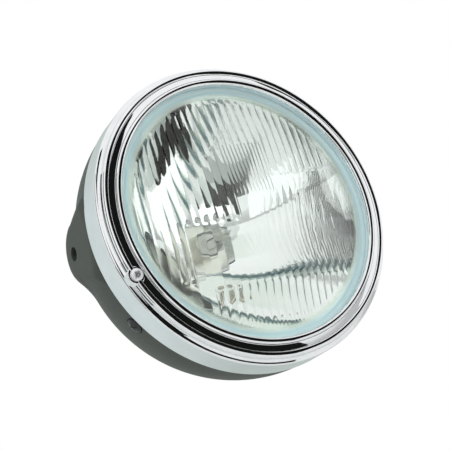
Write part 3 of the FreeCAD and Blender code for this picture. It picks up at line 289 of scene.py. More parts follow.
def flute_zones(x, z):
    """Pitch and height of the moulded flutes, zone by zone, for a lamp that dips to the right."""
    pitch = np.full_like(x, PLAIN_PITCH)
    height = np.full_like(x, MIDDLE_FLUTE)
    kerb = KERB_Z + (x - KERB_X) * KERB_RISE / KERB_RUN
    crown = (z > BLOCK_TOP) | ((x > BLOCK_RIGHT) & (z > kerb)) | ((x < BLOCK_LEFT) & (z > CROWN_LOW))
    tail = (x < TAIL_RIGHT) & (z > TAIL_LOW)
    height[crown | tail] = CROWN_FLUTE
    block = (x >= BLOCK_LEFT) & (x <= BLOCK_RIGHT) & (z > BLOCK_LOW) & (z <= BLOCK_TOP)
    pitch[block] = FINE_PITCH
    height[block] = BLOCK_FLUTE
    apron = (z < APRON_TOP) & (x > APRON_LEFT) & (x < APRON_RIGHT)
    height[apron] = APRON_FLUTE
    hem = (z < HEM_TOP) & (x * x / HEM_STRETCH + z * z > HEM_RADIUS ** 2)
    pitch[hem] = FINE_PITCH
    height[hem] = HEM_FLUTE
    return pitch, height


def flute_sheet():
    """The fluted back of the glass: a fine grid, pressed to its flutes and trimmed to a round edge."""
    width = SHEET_COLUMNS * PLAIN_PITCH / COLUMNS_A_FLUTE
    sheet = primitive("grid", "flutes", size=width * MM,
                      x_subdivisions=SHEET_COLUMNS, y_subdivisions=SHEET_ROWS)
    spots = positions(sheet)
    x, z = spots[:, 0].copy(), spots[:, 1].copy()
    radius = np.hypot(x, z)
    pitch, height = flute_zones(x, z)
    share = (x / pitch) % 1.0 - 0.5
    height *= 1 - fade(radius, *FLUTE_FADE)
    set_positions(sheet, np.stack([x, dome(radius, GLASS) + height * (1 - 4 * share ** 2), z], axis=1))
    bpy.ops.object.mode_set(mode="EDIT")
    bpy.ops.mesh.select_mode(type="VERT")
    bpy.ops.mesh.select_all(action="DESELECT")
    bpy.ops.object.mode_set(mode="OBJECT")
    sheet.data.vertices.foreach_set("select", radius > FLUTE_EDGE)
    bpy.ops.object.mode_set(mode="EDIT")
    bpy.ops.mesh.delete(type="VERT")
    bpy.ops.mesh.select_all(action="DESELECT")
    bpy.ops.mesh.select_non_manifold()
    bpy.ops.object.mode_set(mode="OBJECT")
    edge = np.empty(len(sheet.data.vertices), dtype=bool)
    sheet.data.vertices.foreach_get("select", edge)
    spots = positions(sheet)
    outwards = SHEET_EDGE / np.hypot(spots[edge, 0], spots[edge, 2])
    spots[edge, 0] *= outwards
    spots[edge, 2] *= outwards
    spots[edge, 1] = dome(SHEET_EDGE, GLASS)
    set_positions(sheet, spots)
    return sheet


def fluted_glass():
    """The glass: a turned dome with a flat rear land, and a fluted sheet bridged into its back."""
    profile = [(radius, float(dome(radius, 0))) for radius in FRONT_RINGS]
    front = profile[-1][1]
    profile += [(LENS_EDGE, front + 0.5), (LENS_EDGE, LAND_Y - LENS_CHAMFER)]
    profile += [(LENS_EDGE - LENS_CHAMFER, LAND_Y), (LAND_EDGE, LAND_Y)]
    profile += [(radius, float(dome(radius, GLASS))) for radius in BACK_RINGS]
    bowl = turned("fluted_glass", profile, steps=360)
    glass = join("fluted_glass", [bowl, flute_sheet()])
    bpy.ops.object.mode_set(mode="EDIT")
    bpy.ops.mesh.select_all(action="DESELECT")
    bpy.ops.mesh.select_non_manifold()
    bpy.ops.mesh.bridge_edge_loops()
    bpy.ops.object.mode_set(mode="OBJECT")
    return settle(glass, 18)


def lip_seal():
    """The soft clear seal that closes the gap between the rim's lip and the glass."""
    front, rear = LIP_Y + 0.75, float(dome(81.6, 0)) - 0.05
    profile = [(80.75, front), (80.55, front + 0.25), (80.55, front + 0.9)]
    profile += [(80.75, front + 1.5), (80.7, front + 2.1)]
    profile += [(80.9, rear - 0.4), (81.1, rear), (82.0, rear + 0.05), (81.9, rear - 0.6)]
    profile += [(81.6, front + 1.5), (81.5, front), (80.75, front)]
    return turned("lip_seal", profile, steps=240, angle=60)


# Mirror
DISH_FRONT, DISH_EDGE, DISH_GAUGE = -41.2, 77.0, 1.0
FOCAL_LENGTH = 25.0
DISH_VERTEX = DISH_FRONT + DISH_EDGE ** 2 / (4 * FOCAL_LENGTH)
CUP_RADIUS, CUP_BEND, CUP_LIP = LENS_EDGE + 0.4, 0.4, DISH_FRONT - 4.2
BULB_HOLE = 20.0
PILOT_DROP, PILOT_HOLE = 38.0, 6.6


def dish_depth(radius):
    """Where the mirror's face lies at some radius."""
    return DISH_VERTEX - radius ** 2 / (4 * FOCAL_LENGTH)


def mirror_dish():
    """The parabolic mirror with the bulb's hole, the parking lamp's hole and the cup round the glass."""
    front = [(radius, dish_depth(radius)) for radius in np.linspace(BULB_HOLE, DISH_EDGE, 58)]
    wall = CUP_RADIUS + DISH_GAUGE
    profile = front + [(CUP_RADIUS - CUP_BEND, DISH_FRONT), (CUP_RADIUS, DISH_FRONT - CUP_BEND)]
    profile += [(CUP_RADIUS, CUP_LIP), (wall, CUP_LIP), (wall, DISH_FRONT + DISH_GAUGE - CUP_BEND)]
    profile += [(wall - CUP_BEND, DISH_FRONT + DISH_GAUGE)]
    profile += [(radius, depth + DISH_GAUGE) for radius, depth in front[::-1]]
    profile += [profile[0]]
    dish = turned("mirror_dish", profile, steps=288)
    slope = math.atan(PILOT_DROP / (2 * FOCAL_LENGTH))
    hole = primitive("cylinder", "pilot_hole", vertices=64, radius=PILOT_HOLE * MM, depth=12 * MM)
    place(hole, Matrix.Translation(Vector((0, dish_depth(PILOT_DROP) + DISH_GAUGE / 2, -PILOT_DROP)) * MM)
          @ Matrix.Rotation(math.pi / 2 + slope, 4, "X"))
    cut(dish, hole)
    return smooth(dish, 30)


# Bulb
BULB_BORE, FOOT_REAR, FOOT_FRONT, FOOT_BEND = 7.3, 1.9, 9.6, 0.6
NUB_RADIUS, NUB_HEIGHT, NUB_BEND = 3.4, 1.6, 0.8


def bulb_foot():
    """The pale cement foot that holds the wires inside the bulb's glass, just ahead of its flange."""
    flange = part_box("bulb_glass")[1].y / MM
    front, rear = flange - FOOT_FRONT, flange - FOOT_REAR
    profile = [(0, front - NUB_HEIGHT)]
    profile += bend(NUB_RADIUS, front - NUB_HEIGHT + NUB_BEND, NUB_BEND, -90, -10, 5)
    profile += [(4.4, front + 0.1), (5.2, front + 0.3)]
    profile += bend(BULB_BORE - FOOT_BEND, front + 0.9, FOOT_BEND, -90, 0, 5)
    profile += [(BULB_BORE, rear), (0, rear)]
    return turned("bulb_foot", profile, steps=64)


# Shell
EAR_FACE, EAR_NOSE, EAR_NOSE_Y, EAR_ROOT, EAR_FLARE = 94.0, 18.0, -4.0, 24.0, 38.0
EAR_HOLE, EAR_HOLE_X, EAR_WALL, EAR_HOLLOW = 8.5, 89.0, 3.5, 3.0
FLANK_RISE, FLANK_INSET, FACE_BLEND, ROOT_BLEND = 1.6, 2.0, 3.5, 6.0
EAR_FADE, SIDE_FADE = (8.0, 22.0), (30.0, 55.0)
CONE_START, CONE_SLOPE, CONE_BLEND = BAND_RADIUS - 0.5, 0.45, 1.2
SPIGOT, SPIGOT_BORE, SPIGOT_FRONT = 92.9, 90.1, RIM_REAR - 5.5
WALL_CHAMFER, WALL_RINGS = 0.3, (-25.0, -23.5)
CABLE_HOLE, BOWL_REAR = 10.0, BOWL_START + BOWL_BEND
FLAT_RADIUS, FLAT_DEPTH, SCREW_SEAT = 5.4, 4.0, SHELL_RADIUS - 0.8


def ear_distance(y, z):
    """How far a point lies outside the ear's face, in the side view."""
    behind, above = y - EAR_NOSE_Y, np.abs(z) - EAR_NOSE
    tilt = math.atan2(EAR_ROOT - EAR_NOSE, EAR_NOSE_Y - RIM_REAR)
    flank = above * math.cos(tilt) + behind * math.sin(tilt)
    at_nose = behind > above * math.tan(tilt) + EAR_NOSE * math.sin(tilt)
    return np.where(at_nose, np.hypot(behind, z) - EAR_NOSE, flank)


def soft_top(first, second, blend):
    """The larger of two heights, with a soft fillet between them."""
    share = np.clip(0.5 + 0.5 * (first - second) / blend, 0, 1)
    return second + (first - second) * share + blend * share * (1 - share)


def moulded_shell():
    """The bowl with its two ears, spigot, rear hole, ear holes and the flats under the retaining screws."""
    core = SHELL_RADIUS - BOWL_BEND
    outside = [(SPIGOT_BORE, SPIGOT_FRONT), (SPIGOT, SPIGOT_FRONT), (SPIGOT, RIM_REAR)]
    outside += [(SHELL_RADIUS - WALL_CHAMFER, RIM_REAR)]
    outside += [(SHELL_RADIUS, depth) for depth in (RIM_REAR + WALL_CHAMFER, *WALL_RINGS)]
    outside += bend(core, BOWL_START, BOWL_BEND, 0, 90, 72)
    outside += [(CABLE_HOLE + 2.0, BOWL_REAR), (CABLE_HOLE, BOWL_REAR)]
    inside = [(CABLE_HOLE, BOWL_REAR - SHELL_WALL)]
    inside += bend(core, BOWL_START, BOWL_BEND - SHELL_WALL, 90, 0, 40)
    inside += [(SHELL_RADIUS - SHELL_WALL, WALL_RINGS[-1])]
    inside += [(SPIGOT_BORE, RIM_REAR), (SPIGOT_BORE, SPIGOT_FRONT)]
    shell = turned("moulded_shell", outside + inside, steps=360, angle=40)
    spots = positions(shell)
    radius = np.hypot(spots[:, 0], spots[:, 2])
    reach = np.hypot(np.maximum(radius - core, 0), np.maximum(spots[:, 1] - BOWL_START, 0))
    raise_skin(shell, (reach > BOWL_BEND - SHELL_WALL / 2) & ((radius > SPIGOT) | (spots[:, 1] > BOWL_START)))
    for side in (1, -1):
        hole = primitive("cylinder", "ear_hole", vertices=64, radius=EAR_HOLE / 2 * MM, depth=30 * MM)
        place(hole, Matrix.Translation((side * EAR_HOLE_X * MM, 0, 0)) @ Matrix.Rotation(math.pi / 2, 4, "Y"))
        cut(shell, hole)
        flat = primitive("cylinder", "screw_flat", vertices=64, radius=FLAT_RADIUS * MM, depth=FLAT_DEPTH * MM)
        place(flat, radial(side) @ Matrix.Translation((0, 0, (SCREW_SEAT + FLAT_DEPTH / 2) * MM)))
        cut(shell, flat)
    return smooth(shell, 38)


def raise_skin(shell, skin):
    """Lifts the ears out of the bowl's outer skin, and hollows them behind."""
    spots = positions(shell)
    flare = math.tan(math.radians(EAR_FLARE))
    # For each: its points, how far out the face stands, how far the outline grows and where the ear starts.
    outer = (skin, EAR_FACE, 0.0, RIM_REAR - 0.05)
    inner = (~skin, EAR_FACE - EAR_WALL, -EAR_HOLLOW, RIM_REAR + 1.5)
    for chosen, face, outset, start in (outer, inner):
        x, y, z = (spots[chosen, axis] for axis in range(3))
        away = ear_distance(y, z) - outset
        flank = face + FLANK_RISE - (away + FLANK_INSET) / flare
        top = -soft_top(-np.full_like(x, face), -flank, FACE_BLEND)
        side = np.abs(x)
        lifted = np.maximum(soft_top(top, side, ROOT_BLEND), side)
        near = (1 - fade(away, *EAR_FADE)) * fade(side, *SIDE_FADE)
        grown = np.minimum(side + (lifted - side) * near, np.maximum(face, side))
        cone = CONE_START + np.maximum(y - RIM_REAR, 0) * CONE_SLOPE
        bound = np.sqrt(np.maximum(cone ** 2 - z ** 2, 1))
        grown = np.maximum(-soft_top(-grown, -bound, CONE_BLEND), side)
        spots[chosen, 0] = np.sign(x) * np.where(y < start, side, grown)
    set_positions(shell, spots)


def radial(side):
    """A frame at a retaining screw, with its Z axis pointing out of the shell."""
    angle = math.radians(SCREW_ANGLE)
    return (Matrix.Translation((0, SCREW_Y * MM, 0))
            @ Matrix.Rotation(side * (math.pi / 2 + angle), 4, "Y"))


# Screws
THREAD, THREAD_DEPTH, THREAD_START = 0.7, 0.28, 0.6
CROWN_SHARE, CROWN_STEPS, HEAD_EDGE = 0.55, 12, 0.25
CROSS_TURNS, SLOT_WIDTH, SLOT_DEPTH = (28, 118), 0.24, 0.9
COIL_RADIUS, COIL_WIRE, COIL_TURNS = 2.5, 0.6, 5


def cross_screw(name, head, height, shank, length, recess):
    """A pan-head screw along -Y, its head's underside at the origin, with a cross recess."""
    crown = height * CROWN_SHARE
    bow = (head ** 2 + crown ** 2) / (2 * crown)
    profile = [(0, -height)]
    for step in range(1, CROWN_STEPS + 1):
        radius = (head - HEAD_EDGE) * step / CROWN_STEPS
        profile.append((radius, -height + bow - math.sqrt(bow ** 2 - radius ** 2)))
    edge = profile[-1][1]
    profile += [(head - 0.06, edge + 0.16), (head, edge + 0.4), (head, -0.2), (head - 0.2, 0), (shank, 0)]
    turns = int(length / THREAD)
    for turn in range(turns):
        start = THREAD_START + turn * (length - 2 * THREAD_START) / turns
        profile += [(shank, start), (shank - THREAD_DEPTH, start + THREAD / 2)]
    profile += [(shank, length - THREAD_START), (shank - 0.5, length), (0, length)]
    screw = turned(name, profile, steps=72, angle=32)
    for turn in CROSS_TURNS:
        slot = primitive("cylinder", "slot", vertices=4, radius=MM, depth=2 * recess * MM)
        edit_all()
        bpy.ops.transform.resize(value=(recess * SLOT_WIDTH, SLOT_DEPTH, 1.0))
        bpy.ops.object.mode_set(mode="OBJECT")
        place(slot, Matrix.Rotation(math.radians(turn), 4, "Y") @ Matrix.Translation((0, -height * MM, 0)))
        cut(screw, slot)
    return smooth(screw, 32)


def aiming_screw():
    """The bright screw on the rim's face."""
    screw = cross_screw("aiming_screw", head=3.6, height=2.6, shank=1.9, length=18.0, recess=1.9)
    return place(screw, Matrix.Translation(Vector((AIM_X, SEAT_Y - 0.1, AIM_Z)) * MM))


def aim_coil():
    """The round-wire spring round the aim screw, between the rim's pad and the beam unit's tab."""
    low, high = (corner.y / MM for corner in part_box("aim_spring"))
    coil = primitive("circle", "aim_coil", vertices=10, radius=COIL_WIRE / 2 * MM)
    edit_all()
    bpy.ops.transform.translate(value=(COIL_RADIUS * MM, 0, 0))
    bpy.ops.object.mode_set(mode="OBJECT")
    wind = coil.modifiers.new("wind", "SCREW")
    wind.axis = "Y"
    wind.angle = math.tau
    wind.iterations = COIL_TURNS
    wind.screw_offset = (high - low - COIL_WIRE) / COIL_TURNS * MM
    wind.steps = wind.render_steps = 28
    bpy.ops.object.modifier_apply(modifier=wind.name)
    edit_all()
    bpy.ops.mesh.fill_holes(sides=0)
    bpy.ops.object.mode_set(mode="OBJECT")
    place(coil, Matrix.Translation(Vector((AIM_X, low + COIL_WIRE / 2, AIM_Z)) * MM))
    return settle(coil, 50)


def black_screws():
    """The two black screws that hold the rim, one on each side."""
    screw = cross_screw("black_screws", head=4.8, height=2.4, shank=2.4, length=11.0, recess=2.6)
    twin = copy_of(screw, "black_screw_twin")
    for piece, side in ((screw, -1), (twin, 1)):
        place(piece, radial(side) @ Matrix.Translation((0, 0, SCREW_SEAT * MM))
              @ Matrix.Rotation(-math.pi / 2, 4, "X"))
    return join("black_screws", [screw, twin])


# Finishes
class Finish:
    """A procedural finish on one shader, in the piece's own object coordinates."""

    def __init__(self, name, **sockets):
        self.material = bpy.data.materials.new(name)
        self.material.use_nodes = True
        self.tree = self.material.node_tree
        self.shader = self.tree.nodes["Principled BSDF"]
        self.spot = self.node("ShaderNodeTexCoord").outputs["Object"]
        for socket, value in sockets.items():
            self.shader.inputs[socket.replace("_", " ")].default_value = value

    def node(self, kind, **settings):
        """A new node with its settings."""
        node = self.tree.nodes.new(kind)
        for name, value in settings.items():
            setattr(node, name, value)
        return node

    def feed(self, output, socket):
        """Links an output to one of the shader's sockets."""
        self.tree.links.new(output, self.shader.inputs[socket])
        return self

    def noise(self, scale, detail, stretch=(1, 1, 1)):
        """Cloudy noise, its scale in waves a metre."""
        mapping = self.node("ShaderNodeMapping")
        mapping.inputs["Scale"].default_value = stretch
        self.tree.links.new(self.spot, mapping.inputs["Vector"])
        noise = self.node("ShaderNodeTexNoise")
        noise.inputs["Scale"].default_value = scale
        noise.inputs["Detail"].default_value = detail
        noise.inputs["Roughness"].default_value = 0.55
        self.tree.links.new(mapping.outputs["Vector"], noise.inputs["Vector"])
        return noise.outputs["Fac"]

    def ramp(self, factor, *stops):
        """Tones along a factor."""
        ramp = self.node("ShaderNodeValToRGB")
        while len(ramp.color_ramp.elements) < len(stops):
            ramp.color_ramp.elements.new(0.5)
        for element, (spot, tone) in zip(ramp.color_ramp.elements, stops):
            element.position = spot
            element.color = (*tone, 1)
        self.tree.links.new(factor, ramp.inputs["Fac"])
        return ramp.outputs["Color"]

    def mottle(self, socket, noise, low, high, start=0.3, end=0.7):
        """Lets a socket wander between two tones with a noise."""
        return self.feed(self.ramp(noise, (start, low), (end, high)), socket)

    def reckon(self, kind, first, second):
        """Two values, each a number or an output, put through a math node of the given kind."""
        node = self.node("ShaderNodeMath", operation=kind)
        for socket, value in zip(node.inputs, (first, second)):
            if isinstance(value, (int, float)):
                socket.default_value = value
            else:
                self.tree.links.new(value, socket)
        return node.outputs["Value"]

    def bump(self, height, strength, distance):
        """Fine relief from a height."""
        bump = self.node("ShaderNodeBump")
        bump.inputs["Strength"].default_value = strength
        bump.inputs["Distance"].default_value = distance
        self.tree.links.new(height, bump.inputs["Height"])
        return self.feed(bump.outputs["Normal"], "Normal")

    def depth(self):
        """How far back a point lies along the lamp's axis, in metres."""
        apart = self.node("ShaderNodeSeparateXYZ")
        self.tree.links.new(self.spot, apart.inputs["Vector"])
        return apart.outputs["Y"]

    def radius(self):
        """Distance from the lamp's axis, in metres."""
        flat = self.node("ShaderNodeVectorMath", operation="MULTIPLY")
        flat.inputs[1].default_value = (1, 0, 1)
        self.tree.links.new(self.spot, flat.inputs[0])
        length = self.node("ShaderNodeVectorMath", operation="LENGTH")
        self.tree.links.new(flat.outputs["Vector"], length.inputs[0])
        return length.outputs["Value"]


def grey(value):
    """A plain grey tone."""
    return (value, value, value)


def chrome_finish():
    """Bright chrome with faint polishing haze and tiny waviness of the stamped sheet."""
    chrome = Finish("chrome_plate", Metallic=1.0)
    chrome.mottle("Base Color", chrome.noise(60, 4), (0.80, 0.82, 0.84), (0.90, 0.91, 0.92))
    chrome.mottle("Roughness", chrome.noise(420, 5), grey(0.02), grey(0.07), 0.35, 0.75)
    return chrome.bump(chrome.noise(45, 1), strength=0.05, distance=0.001)


def shell_finish():
    """Dark olive-grey moulded plastic with a fine satin grain and faint flow marks."""
    shell = Finish("shell_plastic", IOR=1.48)
    flow = shell.noise(26, 4, (1, 0.5, 1))
    shell.mottle("Base Color", flow, (0.037, 0.044, 0.037), (0.048, 0.056, 0.047))
    shell.mottle("Roughness", shell.noise(1500, 3), grey(0.42), grey(0.56))
    return shell.bump(shell.noise(2600, 2), strength=0.12, distance=0.0002)


def glass_finish():
    """Clear pressed glass with a frosted, pale cyan border. Its ramps run from the axis to 100 mm out."""
    glass = Finish("clear_glass", IOR=1.5)
    radius = glass.reckon("MULTIPLY", glass.radius(), 10.0)
    tone = glass.ramp(radius, (0.0, (0.967, 1.0, 0.985)), (0.71, (0.967, 1.0, 0.985)),
                      (0.735, (0.83, 0.95, 0.86)), (0.752, (0.80, 0.94, 0.91)), (0.768, (0.56, 0.81, 0.85)),
                      (0.782, (0.78, 0.94, 0.93)), (0.81, (0.70, 0.88, 0.90)))
    glass.feed(tone, "Base Color")
    rough = glass.ramp(radius, (0.0, grey(0.0)), (0.722, grey(0.0)), (0.735, grey(0.25)),
                       (0.79, grey(0.25)), (0.80, grey(0.02)))
    glass.feed(rough, "Roughness")
    frost = glass.ramp(radius, (0.0, grey(1.0)), (0.722, grey(1.0)), (0.738, grey(0.6)),
                       (0.752, grey(0.55)), (0.766, grey(0.3)), (0.79, grey(0.28)))
    behind = glass.reckon("ADD", glass.reckon("MULTIPLY", glass.depth(), 100.0), 5.0)
    inside = glass.ramp(behind, (0.44, grey(0.0)), (0.50, grey(1.0)))
    glass.feed(glass.reckon("MAXIMUM", frost, inside), "Transmission Weight")
    return glass.bump(glass.noise(90, 2), strength=0.02, distance=0.001)


def mirror_finish():
    """Vacuum-metallised lacquer: a clean mirror with a slight orange peel."""
    mirror = Finish("mirror_coat", Metallic=1.0)
    mirror.mottle("Base Color", mirror.noise(40, 3), (0.955, 0.960, 0.955), (0.985, 0.985, 0.98))
    mirror.mottle("Roughness", mirror.noise(600, 4), grey(0.02), grey(0.05))
    return mirror.bump(mirror.noise(70, 2), strength=0.06, distance=0.001)


def plated_finish(name, dark, light, rough, stretch=(1, 1, 1), metal=1.0):
    """Plated steel or brass: cloudy tone, uneven gloss and fine drawing lines."""
    plate = Finish(name, Metallic=metal)
    plate.mottle("Base Color", plate.noise(160, 5), dark, light)
    plate.mottle("Roughness", plate.noise(700, 4), grey(rough * 0.8), grey(rough * 1.25))
    return plate.bump(plate.noise(900, 3, stretch), strength=0.15, distance=0.0002)


def matt_finish(name, dark, light, rough, grain, depth):
    """Rubber, black steel or plain moulding: mottled tone, duller than plate and slightly grained."""
    matt = Finish(name)
    matt.mottle("Base Color", matt.noise(90, 4), dark, light)
    matt.mottle("Roughness", matt.noise(500, 3), grey(rough * 0.9), grey(rough * 1.08))
    return matt.bump(matt.noise(grain, 3), strength=depth, distance=0.0003)


def bulb_finish():
    """Thin clear bulb glass: mostly seen through, with bright reflections."""
    bulb = Finish("bulb_glass", IOR=1.45)
    bulb.mottle("Base Color", bulb.noise(50, 2), (0.92, 0.95, 0.95), (0.98, 1.0, 0.99))
    edge = bulb.node("ShaderNodeLayerWeight")
    edge.inputs["Blend"].default_value = 0.35
    wall = bulb.ramp(edge.outputs["Facing"], (0.0, grey(0.10)), (0.55, grey(0.18)), (0.95, grey(0.75)))
    bulb.feed(wall, "Alpha")
    return bulb.mottle("Roughness", bulb.noise(200, 3), grey(0.0), grey(0.03), 0.4, 0.8)


FINISHES = {
    "shell_plastic": shell_finish(),
    "chrome_plate": chrome_finish(),
    "clear_glass": glass_finish(),
    "bulb_glass": bulb_finish(),
    "mirror_coat": mirror_finish(),
    "screw_plate": plated_finish("screw_plate", (0.84, 0.85, 0.86), (0.95, 0.95, 0.96), 0.36),
    "zinc_steel": plated_finish("zinc_steel", (0.52, 0.54, 0.56), (0.66, 0.67, 0.68), 0.28, (1, 12, 1)),
    "yellow_zinc": plated_finish("yellow_zinc", (0.91, 0.90, 0.81), (0.97, 0.96, 0.90), 0.34),
    "black_steel": matt_finish("black_steel", (0.010, 0.010, 0.011), (0.022, 0.022, 0.023), 0.34, 1200, 0.1),
    "spring_steel": plated_finish("spring_steel", (0.44, 0.45, 0.47), (0.60, 0.61, 0.63), 0.25, (1, 1, 14)),
    "clear_seal": matt_finish("clear_seal", (0.62, 0.74, 0.78), (0.70, 0.81, 0.84), 0.3, 900, 0.05),
    "black_rubber": matt_finish("black_rubber", (0.016, 0.016, 0.016), (0.030, 0.030, 0.029), 0.62, 900, 0.2),
    # The grey rubber's tone is made far paler than the rubber's own grey. This is painted light, so that the
    # glass border in front of it reads bright.
    "grey_rubber": matt_finish("grey_rubber", (0.70, 0.74, 0.74), (0.80, 0.84, 0.84), 0.6, 900, 0.2),
    "tinned_brass": plated_finish("tinned_brass", (0.64, 0.61, 0.52), (0.78, 0.74, 0.62), 0.24),
    "ivory_plastic": matt_finish("ivory_plastic", (0.72, 0.69, 0.58), (0.82, 0.79, 0.68), 0.4, 700, 0.1),
    "bulb_cement": matt_finish("bulb_cement", (0.87, 0.87, 0.78), (0.95, 0.95, 0.87), 0.5, 900, 0.1),
    "tungsten": plated_finish("tungsten", (0.66, 0.65, 0.58), (0.78, 0.77, 0.68), 0.36, metal=0.5),
}


def coat(piece, finish):
    """Gives a piece one finish all over."""
    piece.data.materials.clear()
    piece.data.materials.append(FINISHES[finish].material)
    return piece


def dress(piece, slot, body, *nodes):
    """Gives a new piece its finish and its body, and hides the CAD nodes it stands for."""
    coat(piece, slot)
    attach(piece, body)
    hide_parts(*nodes)
    return piece


dress(stamped_rim(), "chrome_plate", "root", "chrome_rim")
dress(moulded_shell(), "shell_plastic", "root", "headlamp_shell")
dress(black_screws(), "black_steel", "root", "retaining_screws")
screw = dress(aiming_screw(), "chrome_plate", "aim_screw_body", "aim_screw")
coat(screw, "screw_plate")
glass = dress(fluted_glass(), "clear_glass", "beam_unit", "lens")
dress(mirror_dish(), "mirror_coat", "beam_unit", "reflector")
coil = coat(aim_coil(), "spring_steel")
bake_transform(coil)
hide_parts("aim_spring")
foot = coat(bulb_foot(), "bulb_cement")
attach(foot, "beam_unit")
seal = coat(lip_seal(), "clear_seal")
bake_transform(seal)

for part in frame["record"]["subparts"]:
    coat(frame["nodes"][part["node"]], part["material_slot"])
for clear in (glass, frame["nodes"]["bulb_glass"], frame["nodes"]["pilot_bulb"]):
    clear.visible_shadow = False


# Camera
leave_edit()
camera = bpy.data.objects.new("camera", bpy.data.cameras.new("camera"))
bpy.context.scene.collection.objects.link(camera)
right = Vector((0.86650566, -0.42538128, -0.26118711))
up = Vector((0.09096055, -0.37992659, 0.92053352))
back = Vector((-0.49080966, -0.82140523, -0.29051563))
turn = Matrix((right, up, back)).transposed().to_4x4()
camera.matrix_world = Matrix.Translation((-0.347631, -0.598195, -0.203394)) @ turn
camera.data.lens = 92.951
camera.data.sensor_width = 36.0
camera.data.clip_start = 0.01
bpy.context.scene.camera = camera


# Studio
MATT_LIGHT, FULL_WHITE = 0.55, 1.0
FLOOR_SIZE, FLOOR_Z, CARD_DROP, CARD_FACETS = 9.0, -0.45, 0.44, 8
METAL_REACH, GLASS_REACH = 1.6, 0.62


def studio_world():
    """A white room: the eye, metal and glass see it at full white, and it lights matt surfaces more softly."""
    world = bpy.data.worlds.new("studio")
    bpy.context.scene.world = world
    world.use_nodes = True
    tree = world.node_tree
    tree.nodes.clear()
    path = tree.nodes.new("ShaderNodeLightPath")
    seen = path.outputs["Is Camera Ray"]
    for ray in ("Is Glossy Ray", "Is Transmission Ray"):
        either = tree.nodes.new("ShaderNodeMath")
        either.operation = "MAXIMUM"
        tree.links.new(seen, either.inputs[0])
        tree.links.new(path.outputs[ray], either.inputs[1])
        seen = either.outputs["Value"]
    mix = tree.nodes.new("ShaderNodeMixShader")
    tree.links.new(seen, mix.inputs["Fac"])
    for socket, strength in ((1, MATT_LIGHT), (2, FULL_WHITE)):
        white = tree.nodes.new("ShaderNodeBackground")
        white.inputs["Color"].default_value = (1, 1, 1, 1)
        white.inputs["Strength"].default_value = strength
        tree.links.new(white.outputs["Background"], mix.inputs[socket])
    tree.links.new(mix.outputs["Shader"], tree.nodes.new("ShaderNodeOutputWorld").inputs["Surface"])


def soft_lamp(name, spot, size, power):
    """A square soft lamp that looks at the headlight."""
    lamp = bpy.data.objects.new(name, bpy.data.lights.new(name, "AREA"))
    bpy.context.scene.collection.objects.link(lamp)
    lamp.data.size = size
    lamp.data.energy = power
    lamp.location = spot
    lamp.visible_glossy = False
    lamp.visible_transmission = False
    lamp.rotation_euler = (-Vector(spot)).to_track_quat("-Z", "Y").to_euler()


def floor_finish():
    """A pale, faintly mottled studio floor."""
    floor = Finish("pale_floor", Roughness=0.9)
    return floor.mottle("Base Color", floor.noise(3, 3), (0.88, 0.89, 0.88), (0.92, 0.93, 0.92))


def reflection_card(name, seen_by, tones, bearing, height, distance):
    """A glowing card that only metal or only glass sees, which paints a reflection there: one patch of the
    surroundings, by its bearing and height in degrees.
    """
    card = primitive("grid", name, x_subdivisions=CARD_FACETS, y_subdivisions=1, size=1.0)
    spots = np.empty(len(card.data.vertices) * 3)
    card.data.vertices.foreach_get("co", spots)
    spots = spots.reshape(-1, 3) + 0.5
    side = np.radians(bearing[0] + (bearing[1] - bearing[0]) * spots[:, 0])
    rise = np.tan(np.radians(height[0] + (height[1] - height[0]) * spots[:, 1]))
    reach = np.minimum(distance, np.where(rise < 0, CARD_DROP / np.maximum(-rise, 0.01), distance))
    spots = np.stack([reach * np.sin(side), -reach * np.cos(side), reach * rise], axis=1)
    card.data.vertices.foreach_set("co", spots.ravel())
    finish = Finish(name, Roughness=1.0, Specular_IOR_Level=0.0,
                    Base_Color=(0, 0, 0, 1), Emission_Strength=1.0)
    across = finish.node("ShaderNodeSeparateXYZ")
    finish.tree.links.new(finish.node("ShaderNodeTexCoord").outputs["UV"], across.inputs["Vector"])
    finish.feed(finish.ramp(across.outputs["X"], (0.0, tones[0]), (1.0, tones[1])), "Emission Color")
    card.data.materials.append(finish.material)
    card.visible_camera = card.visible_diffuse = card.visible_shadow = False
    card.visible_glossy = seen_by == "metal"
    card.visible_transmission = seen_by == "glass"


def even(*tone):
    """The same tone from one end of a card to the other."""
    return (tone, tone)
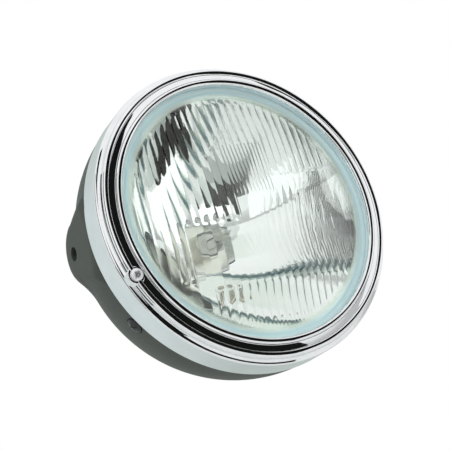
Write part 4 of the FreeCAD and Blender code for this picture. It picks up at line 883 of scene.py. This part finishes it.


# The tones below are painted reflection tones. They are the light and dark that the chrome and the glass show,
# given as the colours of glowing cards and not of real things round the lamp.
PALE_REFLECTION, WALL = (0.69, 0.76, 0.75), (0.52, 0.58, 0.55)
DARK_REFLECTION = even(0.008, 0.009, 0.008)
DARK_SEEN_THROUGH = even(0.012, 0.010, 0.009)
DIM = even(0.40, 0.42, 0.41)
GREY_SEEN_THROUGH = ((0.62, 0.66, 0.65), (0.72, 0.76, 0.75))
SHADE = (grey(0.16), grey(0.10))
BRIGHT_SEEN_THROUGH = even(1.15, 1.17, 1.17)
PALE = even(0.88, 0.92, 0.88)
GLOW_SEEN_THROUGH = even(1.3, 1.3, 1.3)

# Each card: its tones from one end to the other, its bearing and its height.
# Painted reflections in the chrome: glowing cards that no lamp lights and that only metal sees. They are black
# where the chrome shows dark, and grey or pale elsewhere.
METAL_CARDS = {
    "dark_reflection_front": (DARK_REFLECTION, (-20, 40), (-10, 42)),
    "dark_reflection_front_side": (DARK_REFLECTION, (40, 62), (12, 42)),
    "dark_reflection_front_low": (DARK_REFLECTION, (-30, 36), (-34, -10)),
    "dark_reflection_far_left": (DARK_REFLECTION, (-84, -64), (-34, 45)),
    "grey_reflection_left": ((WALL, PALE_REFLECTION), (-200, -150), (-48, 60)),
    "pale_reflection_left_end": (even(*PALE_REFLECTION), (-150, -105), (-48, 60)),
    "grey_reflection_rear": (even(*WALL), (110, 160), (-48, 40)),
}
# Painted views through the glass: glowing cards that only glass sees. Each is dark, grey, bright or glowing
# where the glass and the mirror behind it show that light.
GLASS_CARDS = {
    "seen_through_dark_low": (DARK_SEEN_THROUGH, (-18, 18), (-46, -29)),
    "seen_through_dark_strip": (DARK_SEEN_THROUGH, (-17, -7), (-29, -16)),
    "seen_through_grey_side": (GREY_SEEN_THROUGH, (18, 42), (-46, -31)),
    "seen_through_shade_end": (SHADE, (-28, -18), (-48, -31)),
    "seen_through_dim_under": (DIM, (-28, 38), (-58, -46)),
    "seen_through_bright_left": (BRIGHT_SEEN_THROUGH, (-58, -30), (-34, -6)),
    "seen_through_glow": (GLOW_SEEN_THROUGH, (-5, 40), (-29, 7)),
    "seen_through_pale_top": (PALE, (-30, 30), (8, 38)),
}

studio_world()
for name, card in METAL_CARDS.items():
    reflection_card(name, "metal", *card, METAL_REACH)
for name, card in GLASS_CARDS.items():
    reflection_card(name, "glass", *card, GLASS_REACH)
soft_lamp("key", (-0.9, -1.0, 1.3), size=1.0, power=14.0)
soft_lamp("fill", (1.2, -0.7, 0.6), size=1.0, power=6.0)
soft_lamp("front", (-0.15, -1.5, -0.2), size=0.8, power=4.0)
floor = primitive("plane", "studio_floor", size=FLOOR_SIZE, location=(0, 0, FLOOR_Z))
bpy.ops.object.transform_apply(location=True, rotation=True, scale=True)
floor.data.materials.append(floor_finish().material)

bpy.context.scene.view_settings.view_transform = "Standard"
leave_edit()
